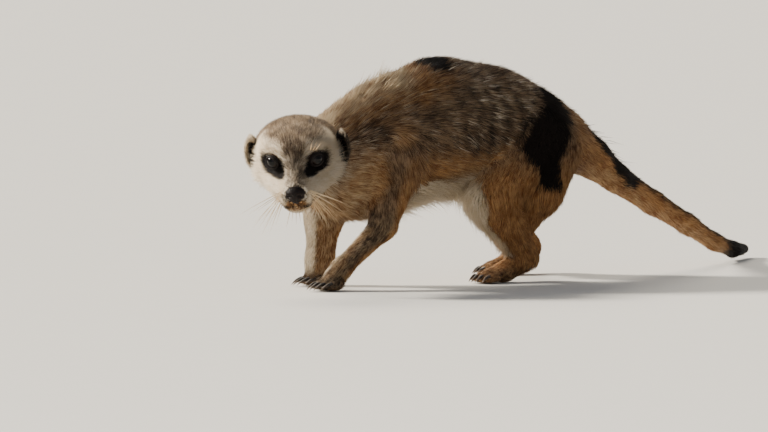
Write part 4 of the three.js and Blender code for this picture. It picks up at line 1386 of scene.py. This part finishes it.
def make_coat(sizes, colours):
    """The fur: tufts at random places over the skin, in pieces, and then those of the ears."""
    material = coat_material("fur", colours)
    share = sizes.fullness * 1.0
    widen = 1.0
    points, quads, normals, *values, regions = made["skin"]
    corners, weights = scatter(points, quads, values[0][:, DENSITY], share)
    take = lambda field: at_places(field, corners, weights)
    root, normal = take(points), unit(take(normals))
    keep = clear_of_openings(root)
    coat, flow, marks = (take(v)[keep] for v in values)
    regions = {name: take(w)[:, 0][keep] for name, w in regions.items()}
    root, normal = root[keep], normal[keep]
    hind = regions["hind_left"] + regions["hind_right"]
    down = 0.55 * regions["trunk"] * (1 - np.abs(normal[:, 2])) + 0.25 * hind
    flow = flow - np.array((0, 0, 1)) * down[:, None]
    fringe = ramp(marks[:, PALE] * (hind + regions["trunk"]) * ramp(root[:, 2], 14, 30), 0.4, 0.9)
    at_head = into_head(root)
    at_head[:, 0] = np.abs(at_head[:, 0])
    ruff = 1.3 * blob(at_head, (22, -2, -10), (9, 12, 13), 0, 0.4) * ramp(regions["head"], 0.3, 0.6)
    loose = (rng.random(len(root)) > 0.94) * (normal[:, 2] > 0.2)
    bristle = 2.2 * blob(root, (0, 108, 82), (9, 26, 18)) * loose
    middle, tip, lock = lay(root, normal, flow, coat, np.max([fringe, ruff, bristle], axis=0))
    root = root - normal * 0.3
    for name, slot, cones, short, own in coat_parts(root, regions):
        unwrap = round_head(root[own]) if cones is HEAD else round_axis(root[own], cones)
        shape = (root[own], middle[own], tip[own], normal[own], coat[own, WIDTH] * widen)
        piece = tufts(name, *shape, marks[own], lock[own], unwrap, material, short)
    make_ear_hair(material, share, widen)


def make_ear_hair(material, share, widen):
    """Short tufts over both ear cups, pointing up and outwards from each one's middle."""
    for hand, side in SIDES.items():
        points, quads, normals, marks = made["ear_" + hand]
        corners, weights = scatter(points, quads, np.full(len(points), EAR_DENSITY), share)
        root, normal = at_places(points, corners, weights), unit(at_places(normals, corners, weights))
        mark = at_places(marks, corners, weights)
        d = root - EAR_AT * (side, 1, 1)
        flow = unit(np.stack([0.2 * side + 0 * d[:, 0], 0.5 + 0 * d[:, 0], d[:, 2] / 6], 1))
        along = unit(flow - normal * (flow * normal).sum(1)[:, None] + 0.15 * rng.normal(size=root.shape))
        length = rng.uniform(1.6, 3.2, len(root))[:, None]
        middle = root + along * length * 0.5 + normal * 0.35
        tip = root + along * length + normal * 0.25
        turned = [out_of_head(v) for v in (root - normal * 0.15, middle, tip)]
        around = np.arctan2(d[:, 1], d[:, 2]) / (2 * math.pi) + 0.5
        unwrap = 0.01 + 0.98 * np.stack([around, d[:, 0] / 14 + 0.5], 1)
        look = (np.full(len(root), 0.1 * widen), mark, rng.random(len(root)), unwrap, material)
        piece = tufts("coat_ear_" + hand, *turned, normal @ HEAD_TURN.T, *look, short=True)


# ---------- stage ----------
# Where the camera stands: degrees round from the front towards the animal's left, degrees up, metres off.
VIEW_TURN, VIEW_RISE, VIEW_FAR = 54, 4, 9.0
LOOK_AT = (0, -50.6, 41.7)
SENSOR = 36.0
# The floor in metres: its rings' radii, how far it is flat, and how steeply it lifts past that.
FLOOR_RINGS, FLOOR_FLAT, FLOOR_LIFT = (0.3, 1.0, 2.5, 4.0, 4.7, 5.4, 6.1, 6.8), 4, 0.025
FLOOR_SIDES = 96
# Each lamp's name and kind, its place to the view's right, ahead and up, how wide it is (a sun in
# degrees, an area in metres), its power and its colour.
LAMPS = [
    ("key", "SUN", (-0.85, 0.2, 0.5), 9, 8.5, (1.0, 0.94, 0.84)),
    ("rim", "SUN", (-0.3, 0.8, 0.7), 25, 2.2, (1.0, 0.93, 0.8)),
    ("fill", "AREA", (-0.25, -0.9, 0.4), 1.6, 5.0, (0.93, 0.96, 1.0)),
]
SKY, SKY_POWER = (0.9, 0.93, 1.0, 1), 0.32


def make_stage(sizes, colours):
    """A wide, pale paper floor that lifts at its rim, sunlight from one side and behind, and a dim fill."""
    turns = np.linspace(0, 2 * math.pi, FLOOR_SIDES, endpoint=False)
    ring = np.stack([np.cos(turns), np.sin(turns), 0 * turns], 1)
    lifts = [FLOOR_LIFT * max(far - FLOOR_FLAT, 0) ** 2 for far in FLOOR_RINGS]
    points = np.concatenate([ring * far + (0, 0, lift) for far, lift in zip(FLOOR_RINGS, lifts)])
    faces = ring_faces(len(FLOOR_RINGS), FLOOR_SIDES)
    paper = mesh_object("studio_paper", points, faces, stage_material(colours))
    close_holes(paper.data, FLOOR_SIDES)

    view = math.radians(VIEW_TURN)
    right = np.array((math.cos(view), math.sin(view), 0))
    ahead = np.array((-math.sin(view), math.cos(view), 0))
    for name, kind, place, spread, power, colour in LAMPS:
        light = bpy.data.lights.new(name, kind)
        light.energy, light.color = power, colour
        if kind == "SUN":
            light.angle = math.radians(spread)
        else:
            light.size = spread
        lamp = link(bpy.data.objects.new(name, light))
        toward = Vector(place[0] * right + place[1] * ahead + np.array((0, 0, place[2]))).normalized()
        lamp.location = Vector(to_model((0, -10, 70))) + toward * 2
        lamp.rotation_euler = toward.to_track_quat("Z", "Y").to_euler()
    world = bpy.data.worlds.new("studio")
    world.use_nodes = True
    sky = world.node_tree.nodes["Background"].inputs
    sky[0].default_value = SKY
    sky[1].default_value = SKY_POWER
    bpy.context.scene.world = world


def make_camera(sizes, colours):
    """A long lens, low down, ahead of the animal's left side."""
    turn, rise = math.radians(VIEW_TURN), math.radians(VIEW_RISE)
    back = Vector((math.sin(turn) * math.cos(rise), -math.cos(turn) * math.cos(rise), math.sin(rise)))
    data = bpy.data.cameras.new("camera")
    data.lens, data.sensor_width = sizes.lens * 1000, SENSOR
    camera = link(bpy.data.objects.new("camera", data))
    camera.location = Vector(to_model(LOOK_AT)) + back * VIEW_FAR
    camera.rotation_euler = back.to_track_quat("Z", "Y").to_euler()
    bpy.context.scene.camera = camera


# ---------- operators ----------
def operator(name, label, words, make):
    """An operator that makes one piece or group of pieces."""

    def execute(self, context):
        make(context.scene.meerkat_sizes, context.scene.meerkat_colours)
        return {"FINISHED"}

    members = {"bl_idname": "meerkat." + name, "bl_label": label, "__doc__": words, "execute": execute}
    members["bl_options"] = {"REGISTER", "UNDO"}
    return type("MEERKAT_OT_" + name, (bpy.types.Operator,), members)


STEPS = [
    operator("camera", "Camera", "Put the camera ahead of the animal's left side", make_camera),
    operator("skin", "Skin and eyelids", "Make the skin under the coat, with its lids and lips", make_skin),
    operator("eyes", "Eyes", "Make both eyeballs", make_eyes),
    operator("nose", "Nose", "Make the nose pad with its nostrils", make_nose),
    operator("ears", "Ears", "Make both ear cups", make_ears),
    operator("claws", "Claws", "Make the claws of all four feet", make_claws),
    operator("whiskers", "Whiskers", "Make the whiskers of lips, chin and brows", make_whiskers),
    operator("coat", "Coat", "Grow the fur over skin and ears", make_coat),
    operator("stage", "Stage", "Make the studio floor and its lamps", make_stage),
]


class MEERKAT_PT_panel(bpy.types.Panel):
    bl_label = "Meerkat"
    bl_idname = "MEERKAT_PT_panel"
    bl_space_type = "VIEW_3D"
    bl_region_type = "UI"
    bl_category = "Meerkat"

    def draw(self, context):
        for step in STEPS:
            self.layout.operator(step.bl_idname)
        for group in (context.scene.meerkat_sizes, context.scene.meerkat_colours):
            for name in group.__annotations__:
                self.layout.prop(group, name)


CLASSES = [MeerkatSizes, MeerkatColours, *STEPS, MEERKAT_PT_panel]


def register():
    for cls in CLASSES:
        bpy.utils.register_class(cls)
    bpy.types.Scene.meerkat_sizes = bpy.props.PointerProperty(type=MeerkatSizes)
    bpy.types.Scene.meerkat_colours = bpy.props.PointerProperty(type=MeerkatColours)


def unregister():
    del bpy.types.Scene.meerkat_colours, bpy.types.Scene.meerkat_sizes
    for cls in reversed(CLASSES):
        bpy.utils.unregister_class(cls)


def main():
    register()
    for step in STEPS:
        getattr(bpy.ops.meerkat, step.bl_idname.split(".")[1])()


if __name__ == "__main__":
    main()
